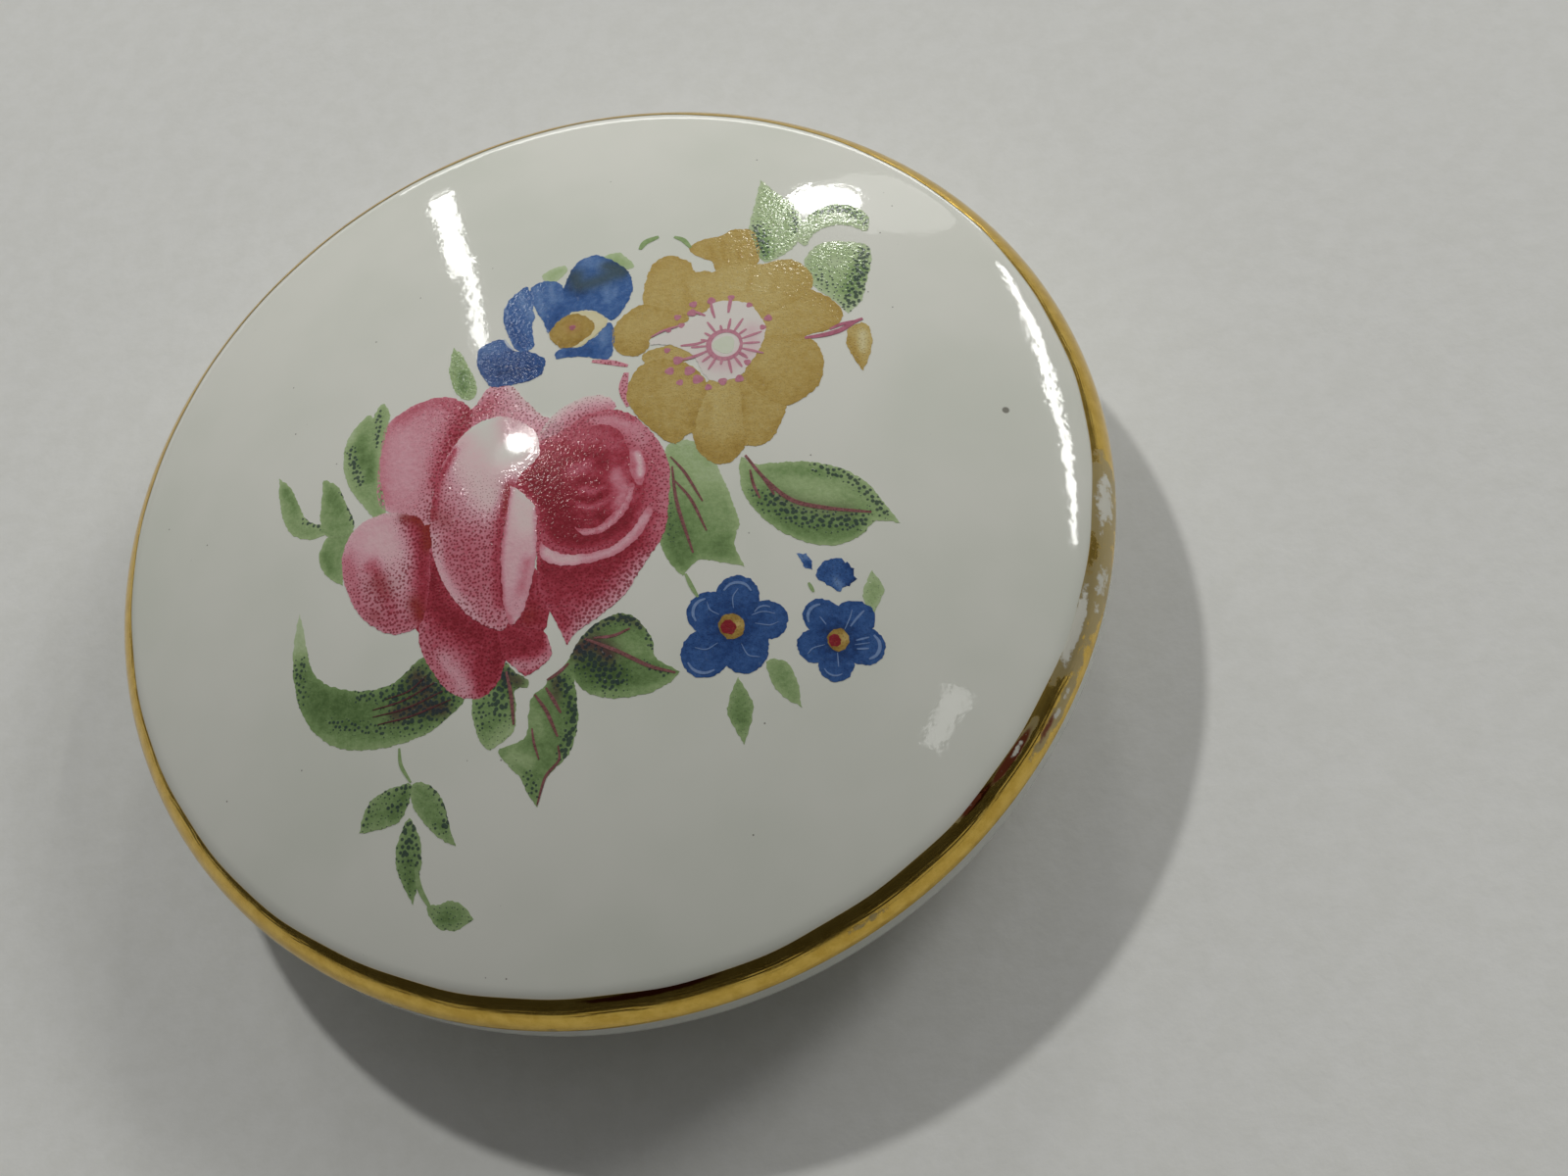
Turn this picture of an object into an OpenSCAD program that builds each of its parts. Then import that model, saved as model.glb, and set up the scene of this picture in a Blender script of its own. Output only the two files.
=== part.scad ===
// Domed porcelain sew-on button with a gilded rim, a fired-on floral spray
// and a brass wire eye set in the hollow back.
// The foot ring stands on z = 0, the face looks along +Z and the spray is upright along +Y.

/* [Porcelain disc] */
// Outside diameter of the bare porcelain
disc_d = 38; // [34:0.5:46]
// Radius of the sphere that the face follows
dome_r = 52; // [44:1:70]
// Radius that rolls the face over into the side
shoulder_r = 1.7; // [1.3:0.1:2.2]
// Height of the straight side wall
side_h = 0.4; // [0.2:0.1:1.5]
// Radius that rolls the side wall under
under_r = 1.1; // [0.8:0.1:1.4]
// Thickness of the porcelain between the face and the hollow back
wall = 2.8; // [2.6:0.1:3.4]

/* [Foot ring] */
// Height of the ring that the disc was fired on
foot_h = 0.4; // [0.3:0.1:0.8]
// Width of the ring
foot_w = 1.5; // [1:0.1:2]
// Distance from the disc's edge to the ring
foot_inset = 2; // [1.6:0.1:3]
// Radius on the ring's two lower edges
foot_edge_r = 0.2; // [0.1:0.05:0.3]
// Radius of the cove inside the ring
cove_r = 0.8; // [0.5:0.1:1.2]

/* [Gilding] */
// Thickness of the fired gold
gilt_t = 0.04; // [0.03:0.01:0.08]
// Slope of the shoulder where the gold begins, in degrees
gilt_from = 35; // [25:1:50]
// Slope of the shoulder where the gold ends, in degrees
gilt_to = 85; // [70:1:88]

/* [Enamel spray] */
// Thickness of the fired colours
enamel_t = 0.04; // [0.03:0.01:0.08]
// Bare porcelain left between the spray and the start of the shoulder
spray_margin = 1.6; // [1:0.1:3]

/* [Shank plate] */
// Diameter of the brass plate
plate_d = 10; // [8:0.5:14]
// Thickness of the plate
plate_t = 0.5; // [0.4:0.1:0.8]
// Diameter of the collar pressed up round the shank
collar_d = 3.4; // [3:0.1:4.5]
// Height of the collar
collar_h = 0.4; // [0.3:0.1:0.8]
// Gap between the plate and the wall of its seat
seat_gap = 0.2; // [0.1:0.05:0.5]
// Depth of the seat moulded in the hollow back
seat_depth = 0.9; // [0.7:0.1:1]
// Thickness of cement between the plate and the porcelain
cement_t = 1; // [1:0.05:1.2]

/* [Wire eye] */
// Inside diameter of the sewing eye
eye_d = 2.4; // [2:0.1:3.6]
// Radius of the half-round brass wire
wire_r = 0.7; // [0.5:0.05:0.8]
// Distance of the eye's opening below the foot ring
eye_clear = 0.05; // [0.05:0.05:1.5]
// Gap between the wire's two flat sides in the shank
wire_gap = 0.06; // [0.04:0.01:0.1]
// Clearance round the shank in the plate's hole
hole_clear = 0.05; // [0.03:0.01:0.1]
// Inside radius of the bend that clinches each end of the wire
clinch_r = 0.15; // [0.1:0.05:0.2]
// Length of each clinched end past its bend
clinch_l = 1.2; // [0.8:0.1:1.6]

/* [Hidden] */
$fn = 64;
slack = 1;

// Disc section: the shoulder's circle touches the face's circle from inside
disc_r = disc_d / 2;
under_z = foot_h + under_r;
shoulder_z = under_z + side_h;
dome_z = shoulder_z - sqrt(pow(dome_r - shoulder_r, 2) - pow(disc_r - shoulder_r, 2));
dome_edge_r = dome_r * (disc_r - shoulder_r) / (dome_r - shoulder_r);
foot_outer_r = disc_r - foot_inset;
hollow_rim_r = foot_outer_r - foot_w;
hollow_r = dome_r - wall;

// Shank stack, from the hollow's roof down to the eye
plate_r = plate_d / 2;
seat_r = plate_r + seat_gap;
seat_mouth_z = dome_z + sqrt(pow(hollow_r, 2) - pow(seat_r, 2));
seat_roof_z = seat_mouth_z + seat_depth;
plate_top_z = seat_roof_z - cement_t;
plate_low_z = plate_top_z - plate_t;
hole_r = wire_r + hole_clear;
eye_r = eye_d / 2;
eye_z = -eye_r - eye_clear;

// The spray is drawn to fit a circle of this radius, then scaled to the face
spray_reach = 16.3;
spray_scale = (dome_edge_r - spray_margin) / spray_reach;

// Petals as [x, y, radius]
rose_lobes = [
    [0, -1.7, 3.6], [1.2, 0.9, 1.5], [-3.2, 0.6, 2], [-3.3, -2.2, 2.2], [-3, -4.1, 2],
    [-5.4, 2.2, 1.9], [-5.6, 0.8, 1.8], [-6.6, -2.9, 2.2], [-4.2, -6.2, 1.7], [-2.3, -5.7, 1.7],
    [0.9, -4.3, 1.7]
];
ochre_lobes = [
    [5.7, 5, 3], [3.7, 7.9, 1.4], [2.6, 5.9, 1.1], [3.7, 2.6, 1.7], [5.7, 1.4, 1.7],
    [7, 1.8, 1.4], [7.9, 3.7, 1.3], [8.7, 6.1, 1.2], [7.7, 7.6, 1.3], [5.8, 9.1, 1.2]
];
blue_lobes = [
    [1, 8.5, 1.35], [-1.6, 7.8, 1.1], [-2.2, 6.6, 0.75], [-2.7, 5.4, 0.95], [-1.7, 5, 0.75],
    [9.3, -4.9, 0.65], [8.2, -4.3, 0.3]
];
// Forget-me-nots as [x, y, distance of the petals from the centre, petal radius, turn]
forget_me_nots = [[5.6, -6.6, 1, 0.95, 10], [9.1, -7.2, 0.8, 0.72, 20]];
petal_count = 5;
// Leaves as [stalk, tip, width]
leaves = [
    [[-7.1, -0.5], [-7.4, 4.4], 1.7], [[-8.9, -0.8], [-11.6, 2.2], 1.1], [[-8.2, -0.8], [-9.7, 1.6], 1],
    [[-8.3, -0.6], [-8.8, -3], 1.2], [[-3.8, 3.8], [-4.6, 6.3], 0.9], [[6.2, 0], [11.4, -2.9], 2.6],
    [[3.8, 0.5], [5.6, -4.4], 2.2], [[0, -6.8], [3.8, -8], 2.4], [[-1.8, -7.4], [-2.8, -10], 1.6],
    [[0, -7.3], [-1.5, -12], 1.8], [[7, 8.6], [7, 13], 1.8], [[8, 8.6], [11, 11.4], 1.7],
    [[9, 8.4], [10.6, 6], 1.5], [[5.8, -8.4], [5.7, -10.7], 0.9], [[6.9, -7.9], [7.6, -9.4], 0.8],
    [[10.3, -6.4], [10.4, -4.8], 0.6], [[-6, -10.7], [-8, -12.1], 1.1], [[-5.8, -10.8], [-4.5, -13], 1],
    [[-6.2, -11.9], [-6.1, -14.7], 1.2], [[-5.7, -15], [-4, -15.3], 1]
];
bud = [[10.5, 5.3], [10.6, 3.2], 0.9];
// Sickle leaf: the crescent between two circles, as [x, y, radius]
sickle_outer = [-6.3, -4.9, 4.3];
sickle_inner = [-7.2, -3.1, 3.9];
sickle_tip = [[-10.1, -6], [-10.4, -3.8], 0.7];
// Stems and veins as slim brush strokes: [start, end, width]
strokes = [
    [[8.6, 4.8], [10.4, 5.5], 0.3], [[6.6, -0.7], [10.2, -2.6], 0.25], [[3.8, -0.8], [4.6, -3.6], 0.25],
    [[0.9, -6.6], [3.1, -7.7], 0.25], [[-0.9, -8], [-1.2, -11.2], 0.25]
];

// Half section of a dome with a rounded shoulder, closed below at base_z
module domed_section(rim_r, corner_r, sphere_r, base_z) {
    corner_x = rim_r - corner_r;
    tangent_a = asin(corner_x / (sphere_r - corner_r));
    corner_z = dome_z + (sphere_r - corner_r) * cos(tangent_a);
    reach = 2 * sphere_r;
    intersection() {
        translate([0, dome_z]) circle(sphere_r);
        polygon([
            [0, base_z], [0, dome_z + reach * cos(tangent_a)],
            [reach * sin(tangent_a), dome_z + reach * cos(tangent_a)],
            [corner_x, corner_z], [corner_x, base_z]
        ]);
    }
    translate([corner_x, corner_z]) circle(corner_r);
    translate([0, base_z]) square([rim_r, corner_z - base_z]);
}

module disc_section() {
    domed_section(disc_r, shoulder_r, dome_r, under_z);
    translate([disc_r - under_r, under_z]) circle(under_r);
    translate([0, foot_h]) square([disc_r - under_r, under_r]);
    foot_section();
}

module foot_section() {
    translate([hollow_rim_r, foot_edge_r]) square([foot_w, foot_h]);
    translate([hollow_rim_r + foot_edge_r, 0]) square([foot_w - 2 * foot_edge_r, foot_h]);
    for (x = [hollow_rim_r + foot_edge_r, foot_outer_r - foot_edge_r])
        translate([x, foot_edge_r]) circle(foot_edge_r);
}

module hollow_section() {
    domed_section(hollow_rim_r, cove_r, hollow_r, foot_edge_r);
    translate([0, -slack]) square([hollow_rim_r, slack + foot_edge_r]);
}

module porcelain_body() {
    color("ivory")
    difference() {
        rotate_extrude() disc_section();
        difference() {
            rotate_extrude() hollow_section();
            foot_edge_fill();
        }
        translate([0, 0, seat_mouth_z - slack]) cylinder(r = seat_r, h = slack + seat_depth);
    }
}

// Keeps the rounded inner edge of the foot ring out of the hollow's cut
module foot_edge_fill() {
    rotate_extrude() translate([hollow_rim_r + foot_edge_r, foot_edge_r]) circle(foot_edge_r);
}

module gilt_rim() {
    reach = 2 * shoulder_r;
    color("goldenrod")
    rotate_extrude()
    translate([disc_r - shoulder_r, shoulder_z])
    intersection() {
        difference() {
            circle(shoulder_r + gilt_t);
            circle(shoulder_r);
        }
        polygon([
            [0, 0],
            reach * [sin(gilt_from), cos(gilt_from)],
            reach * [sin((gilt_from + gilt_to) / 2), cos((gilt_from + gilt_to) / 2)],
            reach * [sin(gilt_to), cos(gilt_to)]
        ]);
    }
}

// Lays a flat outline on the face as a film of fired colour
module fired_film() {
    intersection() {
        linear_extrude(height = 2 * dome_r) scale(spray_scale) children();
        translate([0, 0, dome_z])
        difference() {
            sphere(dome_r + enamel_t);
            sphere(dome_r);
        }
    }
}

module lobes(list) {
    for (lobe = list)
        translate([lobe[0], lobe[1]]) circle(lobe[2]);
}

module leaf(stalk, tip, width) {
    run = tip - stalk;
    length = norm(run);
    side_r = (pow(length, 2) + pow(width, 2)) / (4 * width);
    translate((stalk + tip) / 2)
    rotate(atan2(run[1], run[0]))
    intersection() {
        translate([0, side_r - width / 2]) circle(side_r);
        translate([0, width / 2 - side_r]) circle(side_r);
    }
}

module rose_outline() {
    lobes(rose_lobes);
}

module ochre_outline() {
    difference() {
        union() {
            lobes(ochre_lobes);
            leaf(bud[0], bud[1], bud[2]);
        }
        rose_outline();
    }
}

module blue_outline() {
    difference() {
        union() {
            lobes(blue_lobes);
            for (flower = forget_me_nots)
                translate([flower[0], flower[1]])
                for (i = [0 : petal_count - 1])
                    rotate(flower[4] + i * 360 / petal_count)
                    translate([flower[2], 0])
                    circle(flower[3]);
        }
        rose_outline();
        ochre_outline();
    }
}

module stem_outline() {
    for (one = strokes)
        leaf(one[0], one[1], one[2]);
}

module stem_print() {
    difference() {
        stem_outline();
        rose_outline();
        ochre_outline();
        blue_outline();
    }
}

module leaf_outline() {
    difference() {
        union() {
            for (one = leaves)
                leaf(one[0], one[1], one[2]);
            leaf(sickle_tip[0], sickle_tip[1], sickle_tip[2]);
            difference() {
                translate([sickle_outer[0], sickle_outer[1]]) circle(sickle_outer[2]);
                translate([sickle_inner[0], sickle_inner[1]]) circle(sickle_inner[2]);
            }
        }
        rose_outline();
        ochre_outline();
        blue_outline();
        stem_outline();
    }
}

module rose_enamel() {
    color("palevioletred") fired_film() rose_outline();
}

module ochre_enamel() {
    color("darkkhaki") fired_film() ochre_outline();
}

module blue_enamel() {
    color("royalblue") fired_film() blue_outline();
}

module leaf_enamel() {
    color("darkseagreen") fired_film() leaf_outline();
}

module stem_enamel() {
    color("rosybrown") fired_film() stem_print();
}

// Half-round wire lying with its flat side at the given distance from the sweep's axis
module wire_section(flat_at, side) {
    translate([flat_at, 0])
    intersection() {
        circle(wire_r);
        translate([side > 0 ? 0 : -wire_r, -wire_r]) square([wire_r, 2 * wire_r]);
    }
}

module wire_ring() {
    translate([0, 0, eye_z])
    rotate([0, 90, 0])
    rotate_extrude()
    wire_section(eye_r, 1);
}

// One end of the wire, bent over along +Y above the plate with its flat side up
module clinched_end() {
    bend_y = wire_r + clinch_r;
    translate([0, bend_y, plate_top_z]) {
        rotate([90, 0, 90])
        rotate(90)
        rotate_extrude(angle = 90)
        wire_section(wire_r + clinch_r, -1);
        translate([0, 0, wire_r + clinch_r])
        rotate([-90, 0, 0])
        rotate(90)
        linear_extrude(height = clinch_l)
        wire_section(0, 1);
    }
}

module shank_loop() {
    leg_low_z = eye_z + eye_r;
    color("darkgoldenrod")
    difference() {
        union() {
            wire_ring();
            difference() {
                translate([0, 0, leg_low_z - wire_r])
                cylinder(r = wire_r, h = plate_top_z - leg_low_z + wire_r);
                translate([-2 * wire_r, 0, eye_z])
                rotate([0, 90, 0])
                cylinder(r = eye_r, h = 4 * wire_r);
            }
            clinched_end();
            mirror([0, 1, 0]) clinched_end();
        }
        translate([-slack, -wire_gap / 2, eye_z])
        cube([2 * slack, wire_gap, plate_top_z + wire_r + slack - eye_z]);
    }
}

module shank_plate() {
    edge_r = plate_t / 2;
    color("gold")
    rotate_extrude()
    difference() {
        union() {
            translate([0, plate_low_z]) square([plate_r - edge_r, plate_t]);
            translate([plate_r - edge_r, plate_low_z + edge_r]) circle(edge_r);
            translate([0, plate_low_z - collar_h]) square([collar_d / 2, collar_h]);
        }
        translate([-slack, plate_low_z - collar_h - slack])
        square([slack + hole_r, plate_t + collar_h + 2 * slack]);
    }
}

module cement_bed() {
    color("gainsboro")
    difference() {
        translate([0, 0, plate_top_z]) cylinder(r = seat_r, h = cement_t);
        shank_loop();
    }
}

porcelain_body();
gilt_rim();
rose_enamel();
ochre_enamel();
blue_enamel();
leaf_enamel();
stem_enamel();
cement_bed();
shank_plate();
shank_loop();
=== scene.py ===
# %% [markdown]
# # A porcelain sew-on button with a gilded rim and a fired flower spray
# The button is a domed disc of white porcelain. It was pressed in a mould, fired, dipped in clear glaze
# and fired again. A band of gold was then brushed round its shoulder and a printed flower spray was
# fired onto its face. A brass wire eye in the hollow back takes the thread.
# The construction comes ready as a fixed frame of separate parts. This lesson dresses that frame.

# %% Load the fixed frame
import math

import bpy
import numpy as np
from mathutils import Matrix, Quaternion, Vector
from mathutils.geometry import delaunay_2d_cdt


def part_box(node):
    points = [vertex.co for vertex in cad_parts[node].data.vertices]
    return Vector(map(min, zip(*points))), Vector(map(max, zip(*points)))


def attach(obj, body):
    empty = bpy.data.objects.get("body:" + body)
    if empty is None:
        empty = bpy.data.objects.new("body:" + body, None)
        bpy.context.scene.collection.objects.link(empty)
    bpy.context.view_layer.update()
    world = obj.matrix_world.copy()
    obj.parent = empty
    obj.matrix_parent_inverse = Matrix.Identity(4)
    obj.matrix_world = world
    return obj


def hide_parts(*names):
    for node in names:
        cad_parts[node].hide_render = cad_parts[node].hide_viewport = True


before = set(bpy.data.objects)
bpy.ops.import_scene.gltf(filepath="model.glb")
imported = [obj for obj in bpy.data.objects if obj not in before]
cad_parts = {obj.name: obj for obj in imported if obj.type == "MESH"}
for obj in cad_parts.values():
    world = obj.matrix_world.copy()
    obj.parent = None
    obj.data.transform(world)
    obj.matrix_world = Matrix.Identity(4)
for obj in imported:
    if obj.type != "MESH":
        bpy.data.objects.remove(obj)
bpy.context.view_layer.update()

MM = 0.001
BODY = "root"
disc_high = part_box("porcelain_body")[1]
DISC_R = disc_high.x / MM
FACE_TOP = disc_high.z / MM
EYE_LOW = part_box("shank_loop")[0].z / MM
print(f"disc radius {DISC_R:.2f} mm, face {FACE_TOP:.2f} mm above the foot, eye {EYE_LOW:.2f} mm below it")

# %% [markdown]
# ## Section of the disc
# All the pieces that lie on the porcelain need to know where its skin is. The section is made of arcs
# that touch each other: a very flat arc for the face, a tight one for the shoulder, a short straight
# side and another tight arc under it. One function gives the face's height anywhere, with the faint
# unevenness of a hand-dipped glaze, so that every later piece can ask for it and fit.

# %% Section of the disc
FACE_R = 52.0  # sphere that the face follows
SHOULDER_R = 1.7
UNDER_R = 1.1
FOOT_H = 0.4
FOOT_W = 1.5
FOOT_INSET = 2.0
FOOT_EDGE_R = 0.2
WALL = 2.8
COVE_R = 0.8
FACE_CENTRE = FACE_TOP - FACE_R
SHOULDER_X = DISC_R - SHOULDER_R
SHOULDER_Z = FACE_CENTRE + math.sqrt((FACE_R - SHOULDER_R) ** 2 - SHOULDER_X ** 2)
FACE_EDGE_SLOPE = math.asin(SHOULDER_X / (FACE_R - SHOULDER_R))
UNDER_Z = FOOT_H + UNDER_R
GLAZE_WAVE = 0.012  # height of the glaze's slow unevenness


def glaze_wave(x, y):
    """Slow unevenness of the dipped glaze at a place on the face, always at or below zero."""
    waves = np.sin(0.42 * x + 1.1) * np.sin(0.37 * y + 0.4) + 0.6 * np.sin(0.23 * x - 0.31 * y + 2.0)
    return GLAZE_WAVE * (waves / 1.6 - 1.0) / 2.0


def face_height(x, y):
    """Height of the glazed face above the foot ring's plane, in millimetres."""
    return FACE_CENTRE + np.sqrt(FACE_R ** 2 - x * x - y * y) + glaze_wave(x, y)


print(f"shoulder starts where the face slopes {math.degrees(FACE_EDGE_SLOPE):.1f} degrees")

# %% [markdown]
# ## Camera
# A button this small is looked at from close by, so the near edge looks a little larger than the far
# one. The camera stands about 81 mm away, leans 28.5 degrees from the button's axis and is turned and
# rolled a little, so that the spray stands upright.

# %% Camera
VIEW_LEAN = math.radians(28.5)
VIEW_TURN = math.radians(19.34)
VIEW_ROLL = math.radians(-2.49)
VIEW_DISTANCE = 80.76
VIEW_AIM = Vector((0, 0, 3))
BUTTON_ACROSS = -6.95  # where the button sits, measured from the line of sight
BUTTON_UP = 2.57
LENS = 50


def make_camera():
    back = Vector((
        math.sin(VIEW_TURN) * math.sin(VIEW_LEAN),
        -math.cos(VIEW_TURN) * math.sin(VIEW_LEAN),
        math.cos(VIEW_LEAN),
    ))
    level_right = (-back).cross(Vector((0, 1, 0))).normalized()
    level_up = level_right.cross(-back)
    right = math.cos(VIEW_ROLL) * level_right + math.sin(VIEW_ROLL) * level_up
    up = math.cos(VIEW_ROLL) * level_up - math.sin(VIEW_ROLL) * level_right
    place = VIEW_AIM + VIEW_DISTANCE * back - BUTTON_ACROSS * right - BUTTON_UP * up
    camera = bpy.data.objects.new("camera", bpy.data.cameras.new("camera"))
    bpy.context.scene.collection.objects.link(camera)
    camera.data.lens = LENS
    camera.data.clip_start = 5 * MM
    camera.data.clip_end = 20
    turn = Matrix((right, up, back)).transposed().to_4x4()
    camera.matrix_world = Matrix.Translation(place * MM) @ turn
    return camera


bpy.context.scene.camera = make_camera()
print(f"camera {bpy.context.scene.camera.location.length / MM:.0f} mm from the button")

# %% [markdown]
# ## Chart colours
# Paint and glaze colours are easiest to choose as the 0 to 255 values that a colour chart gives, but
# shaders work with light, which is not the same scale. One helper converts them.

# %% Chart colours
def tint(red, green, blue):
    """A chart colour, 0 to 255, as the light that a shader needs."""
    channels = []
    for value in (red, green, blue):
        share = value / 255
        channels.append(share / 12.92 if share <= 0.04045 else ((share + 0.055) / 1.055) ** 2.4)
    return (*channels, 1.0)


print(f"a middle grey is {tint(128, 128, 128)[0]:.3f} as light")

# %% [markdown]
# ## Node helpers
# A finish is a net of nodes that feeds one Principled shader. Written out in full, each net would be a
# page long. This small class adds one node at a time and returns its output, so that a recipe below
# reads as a few lines. Sizes are given in millimetres, and patterns are tied to the object itself.

# %% Node helpers
class Mix:
    """A material being mixed: adds nodes and joins them."""

    def __init__(self, name):
        self.material = bpy.data.materials.new(name)
        self.material.use_nodes = True
        self.nodes = self.material.node_tree.nodes
        self.links = self.material.node_tree.links
        self.nodes.clear()
        output = self.nodes.new("ShaderNodeOutputMaterial")
        self.shader = self.nodes.new("ShaderNodeBsdfPrincipled")
        self.links.new(self.shader.outputs[0], output.inputs[0])
        self.place = self.nodes.new("ShaderNodeTexCoord").outputs["Object"]

    def put(self, socket, value):
        """Joins an output to a socket, or sets a plain number or colour on it."""
        if isinstance(value, bpy.types.NodeSocket):
            self.links.new(value, socket)
        else:
            socket.default_value = value

    def set(self, **sockets):
        """Sets the shader's own sockets; coat_ior stands for Coat IOR."""
        for name, value in sockets.items():
            self.put(self.shader.inputs[name.replace("_", " ").title().replace("Ior", "IOR")], value)

    def noise(self, size, detail=2.0, roughness=0.5):
        """Cloudy noise whose features are about size millimetres wide."""
        node = self.nodes.new("ShaderNodeTexNoise")
        self.links.new(self.place, node.inputs["Vector"])
        node.inputs["Scale"].default_value = 1 / (size * MM)
        node.inputs["Detail"].default_value = detail
        node.inputs["Roughness"].default_value = roughness
        return node.outputs["Fac"]

    def dots(self, size, randomness=1.0, flat=False):
        """Distance from the nearest of many dots that lie about size millimetres apart."""
        node = self.nodes.new("ShaderNodeTexVoronoi")
        node.voronoi_dimensions = "2D" if flat else "3D"
        self.links.new(self.place, node.inputs["Vector"])
        node.inputs["Scale"].default_value = 1 / (size * MM)
        node.inputs["Randomness"].default_value = randomness
        return node.outputs["Distance"]

    def near(self, spot):
        """Distance in millimetres from a spot on the face."""
        x, y = spot
        node = self.nodes.new("ShaderNodeVectorMath")
        node.operation = "DISTANCE"
        self.links.new(self.place, node.inputs[0])
        node.inputs[1].default_value = (x * MM, y * MM, float(face_height(x, y)) * MM)
        return self.math("DIVIDE", node.outputs["Value"], MM)

    def told(self, name):
        """A number that the mesh carries at each point."""
        node = self.nodes.new("ShaderNodeAttribute")
        node.attribute_name = name
        return node.outputs["Fac"]

    def math(self, operation, first, second=0.0, third=0.0):
        node = self.nodes.new("ShaderNodeMath")
        node.operation = operation
        for socket, value in zip(node.inputs, (first, second, third)):
            self.put(socket, value)
        return node.outputs[0]

    def ramp(self, value, low, high, to_low=0.0, to_high=1.0):
        """Smooth step of value from low to high."""
        node = self.nodes.new("ShaderNodeMapRange")
        node.interpolation_type = "SMOOTHSTEP"
        for socket, number in zip(node.inputs, (value, low, high, to_low, to_high)):
            self.put(socket, number)
        return node.outputs["Result"]

    def blend(self, share, first, second):
        """Mixes two colours by share."""
        node = self.nodes.new("ShaderNodeMix")
        node.data_type = "RGBA"
        self.put(node.inputs[0], share)
        self.put(node.inputs[6], first)
        self.put(node.inputs[7], second)
        return node.outputs[2]

    def bump(self, height, depth, strength=1.0, below=None):
        """Surface relief: height from 0 to 1 stands for depth millimetres."""
        node = self.nodes.new("ShaderNodeBump")
        node.inputs["Strength"].default_value = strength
        node.inputs["Distance"].default_value = depth * MM
        self.put(node.inputs["Height"], height)
        if below is not None:
            self.links.new(below, node.inputs["Normal"])
        return node.outputs["Normal"]


print("helpers ready")

# %% [markdown]
# ## Lamps
# The light is that of a room: windows behind and to the right, a narrow strip of daylight at the left
# and a ceiling lamp. Most of them leave their own mark on the wet-looking glaze, so each is a separate
# lamp, placed by the direction in which it is seen from the button. The ceiling lamp and the side light
# are too strong to be mirrored, so they light the button unseen, from a little further off. Two dim
# lamps, the glint and the shade, are what the glaze shows in the ceiling lamp's place.

# %% Lamps
LAMP_DISTANCE = 500.0
UNSEEN_DISTANCE = 550.0
DAYLIGHT = (1.0, 1.0, 0.965)


def make_lamp(name, turn, rise, roll, width, height, power, is_round, is_mirrored):
    """A flat lamp facing the button. Turn is clockwise from straight behind it, in degrees."""
    light = bpy.data.lights.new(name, "AREA")
    light.shape = "ELLIPSE" if is_round else "RECTANGLE"
    light.size = width * MM
    light.size_y = height * MM
    light.energy = power
    light.color = DAYLIGHT
    lamp = bpy.data.objects.new(name, light)
    bpy.context.scene.collection.objects.link(lamp)
    turn = math.radians(turn)
    rise = math.radians(rise)
    towards = Vector((math.sin(turn) * math.cos(rise), math.cos(turn) * math.cos(rise), math.sin(rise)))
    lamp.location = towards * (LAMP_DISTANCE if is_mirrored else UNSEEN_DISTANCE) * MM
    lamp.visible_glossy = is_mirrored
    lamp.rotation_mode = "QUATERNION"
    facing = towards.to_track_quat("Z", "Y")
    lamp.rotation_quaternion = facing @ Quaternion((0, 0, 1), -math.radians(roll))


# name, turn, rise, roll, width, height, power, round, seen in the glaze
LAMPS = [
    ("side_window", 42, 39, 38, 300, 10, 0.17, False, True),
    ("low_window", 0, 4, 0, 500, 60, 0.32, False, True),
    ("back_window", 8.5, 26, 0, 56, 44, 0.16, True, True),
    ("window_glow", 14, 25, 0, 110, 80, 0.03, True, True),
    ("daylight_strip", -24.8, 19, 5, 16, 125, 0.065, False, True),
    ("strip_lower_end", -26.4, 32, 12, 9, 140, 0.045, False, True),
    ("ceiling_lamp", -30, 50, 0, 30, 30, 0.7, True, False),
    ("lamp_glint", -30, 50, 0, 25, 25, 0.055, True, True),
    ("lamp_shade", -29.5, 51, 0, 62, 52, 0.009, True, True),
    ("side_light", 55, 32, 0, 160, 160, 0.56, True, False),
    ("right_lamp", 90, 67, 30, 62, 22, 0.011, False, True),
]
for lamp_facts in LAMPS:
    make_lamp(*lamp_facts)
print(f"{len(LAMPS)} lamps")

# %% [markdown]
# ## Table top
# A plain pale sheet, level with the wire eye's end, which is the lowest point of the button.

# %% Table top
TABLE = tint(240, 240, 238)
TABLE_HALF = 2500  # millimetres


def make_table():
    half = TABLE_HALF * MM
    z = EYE_LOW * MM
    mesh = bpy.data.meshes.new("table_top")
    corners = [(-half, -half, z), (half, -half, z), (half, half, z), (-half, half, z)]
    mesh.from_pydata(corners, [], [(0, 1, 2, 3)])
    table = bpy.data.objects.new("table_top", mesh)
    bpy.context.scene.collection.objects.link(table)
    finish = Mix("table_top")
    grain = finish.noise(0.9, detail=4, roughness=0.6)
    finish.set(
        base_color=finish.blend(finish.ramp(grain, 0.3, 0.7), TABLE, tint(236, 236, 233)),
        roughness=0.75,
        normal=finish.bump(grain, 0.05, strength=0.4),
    )
    mesh.materials.append(finish.material)


make_table()
print(f"table top {2 * TABLE_HALF / 1000:.0f} m across")

# %% [markdown]
# ## Light of the room
# Walls and ceiling send back some light from every side. A world shader gives it, and it grows paler
# from low in front to high behind, because an even grey would make the glaze look flat.

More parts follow.
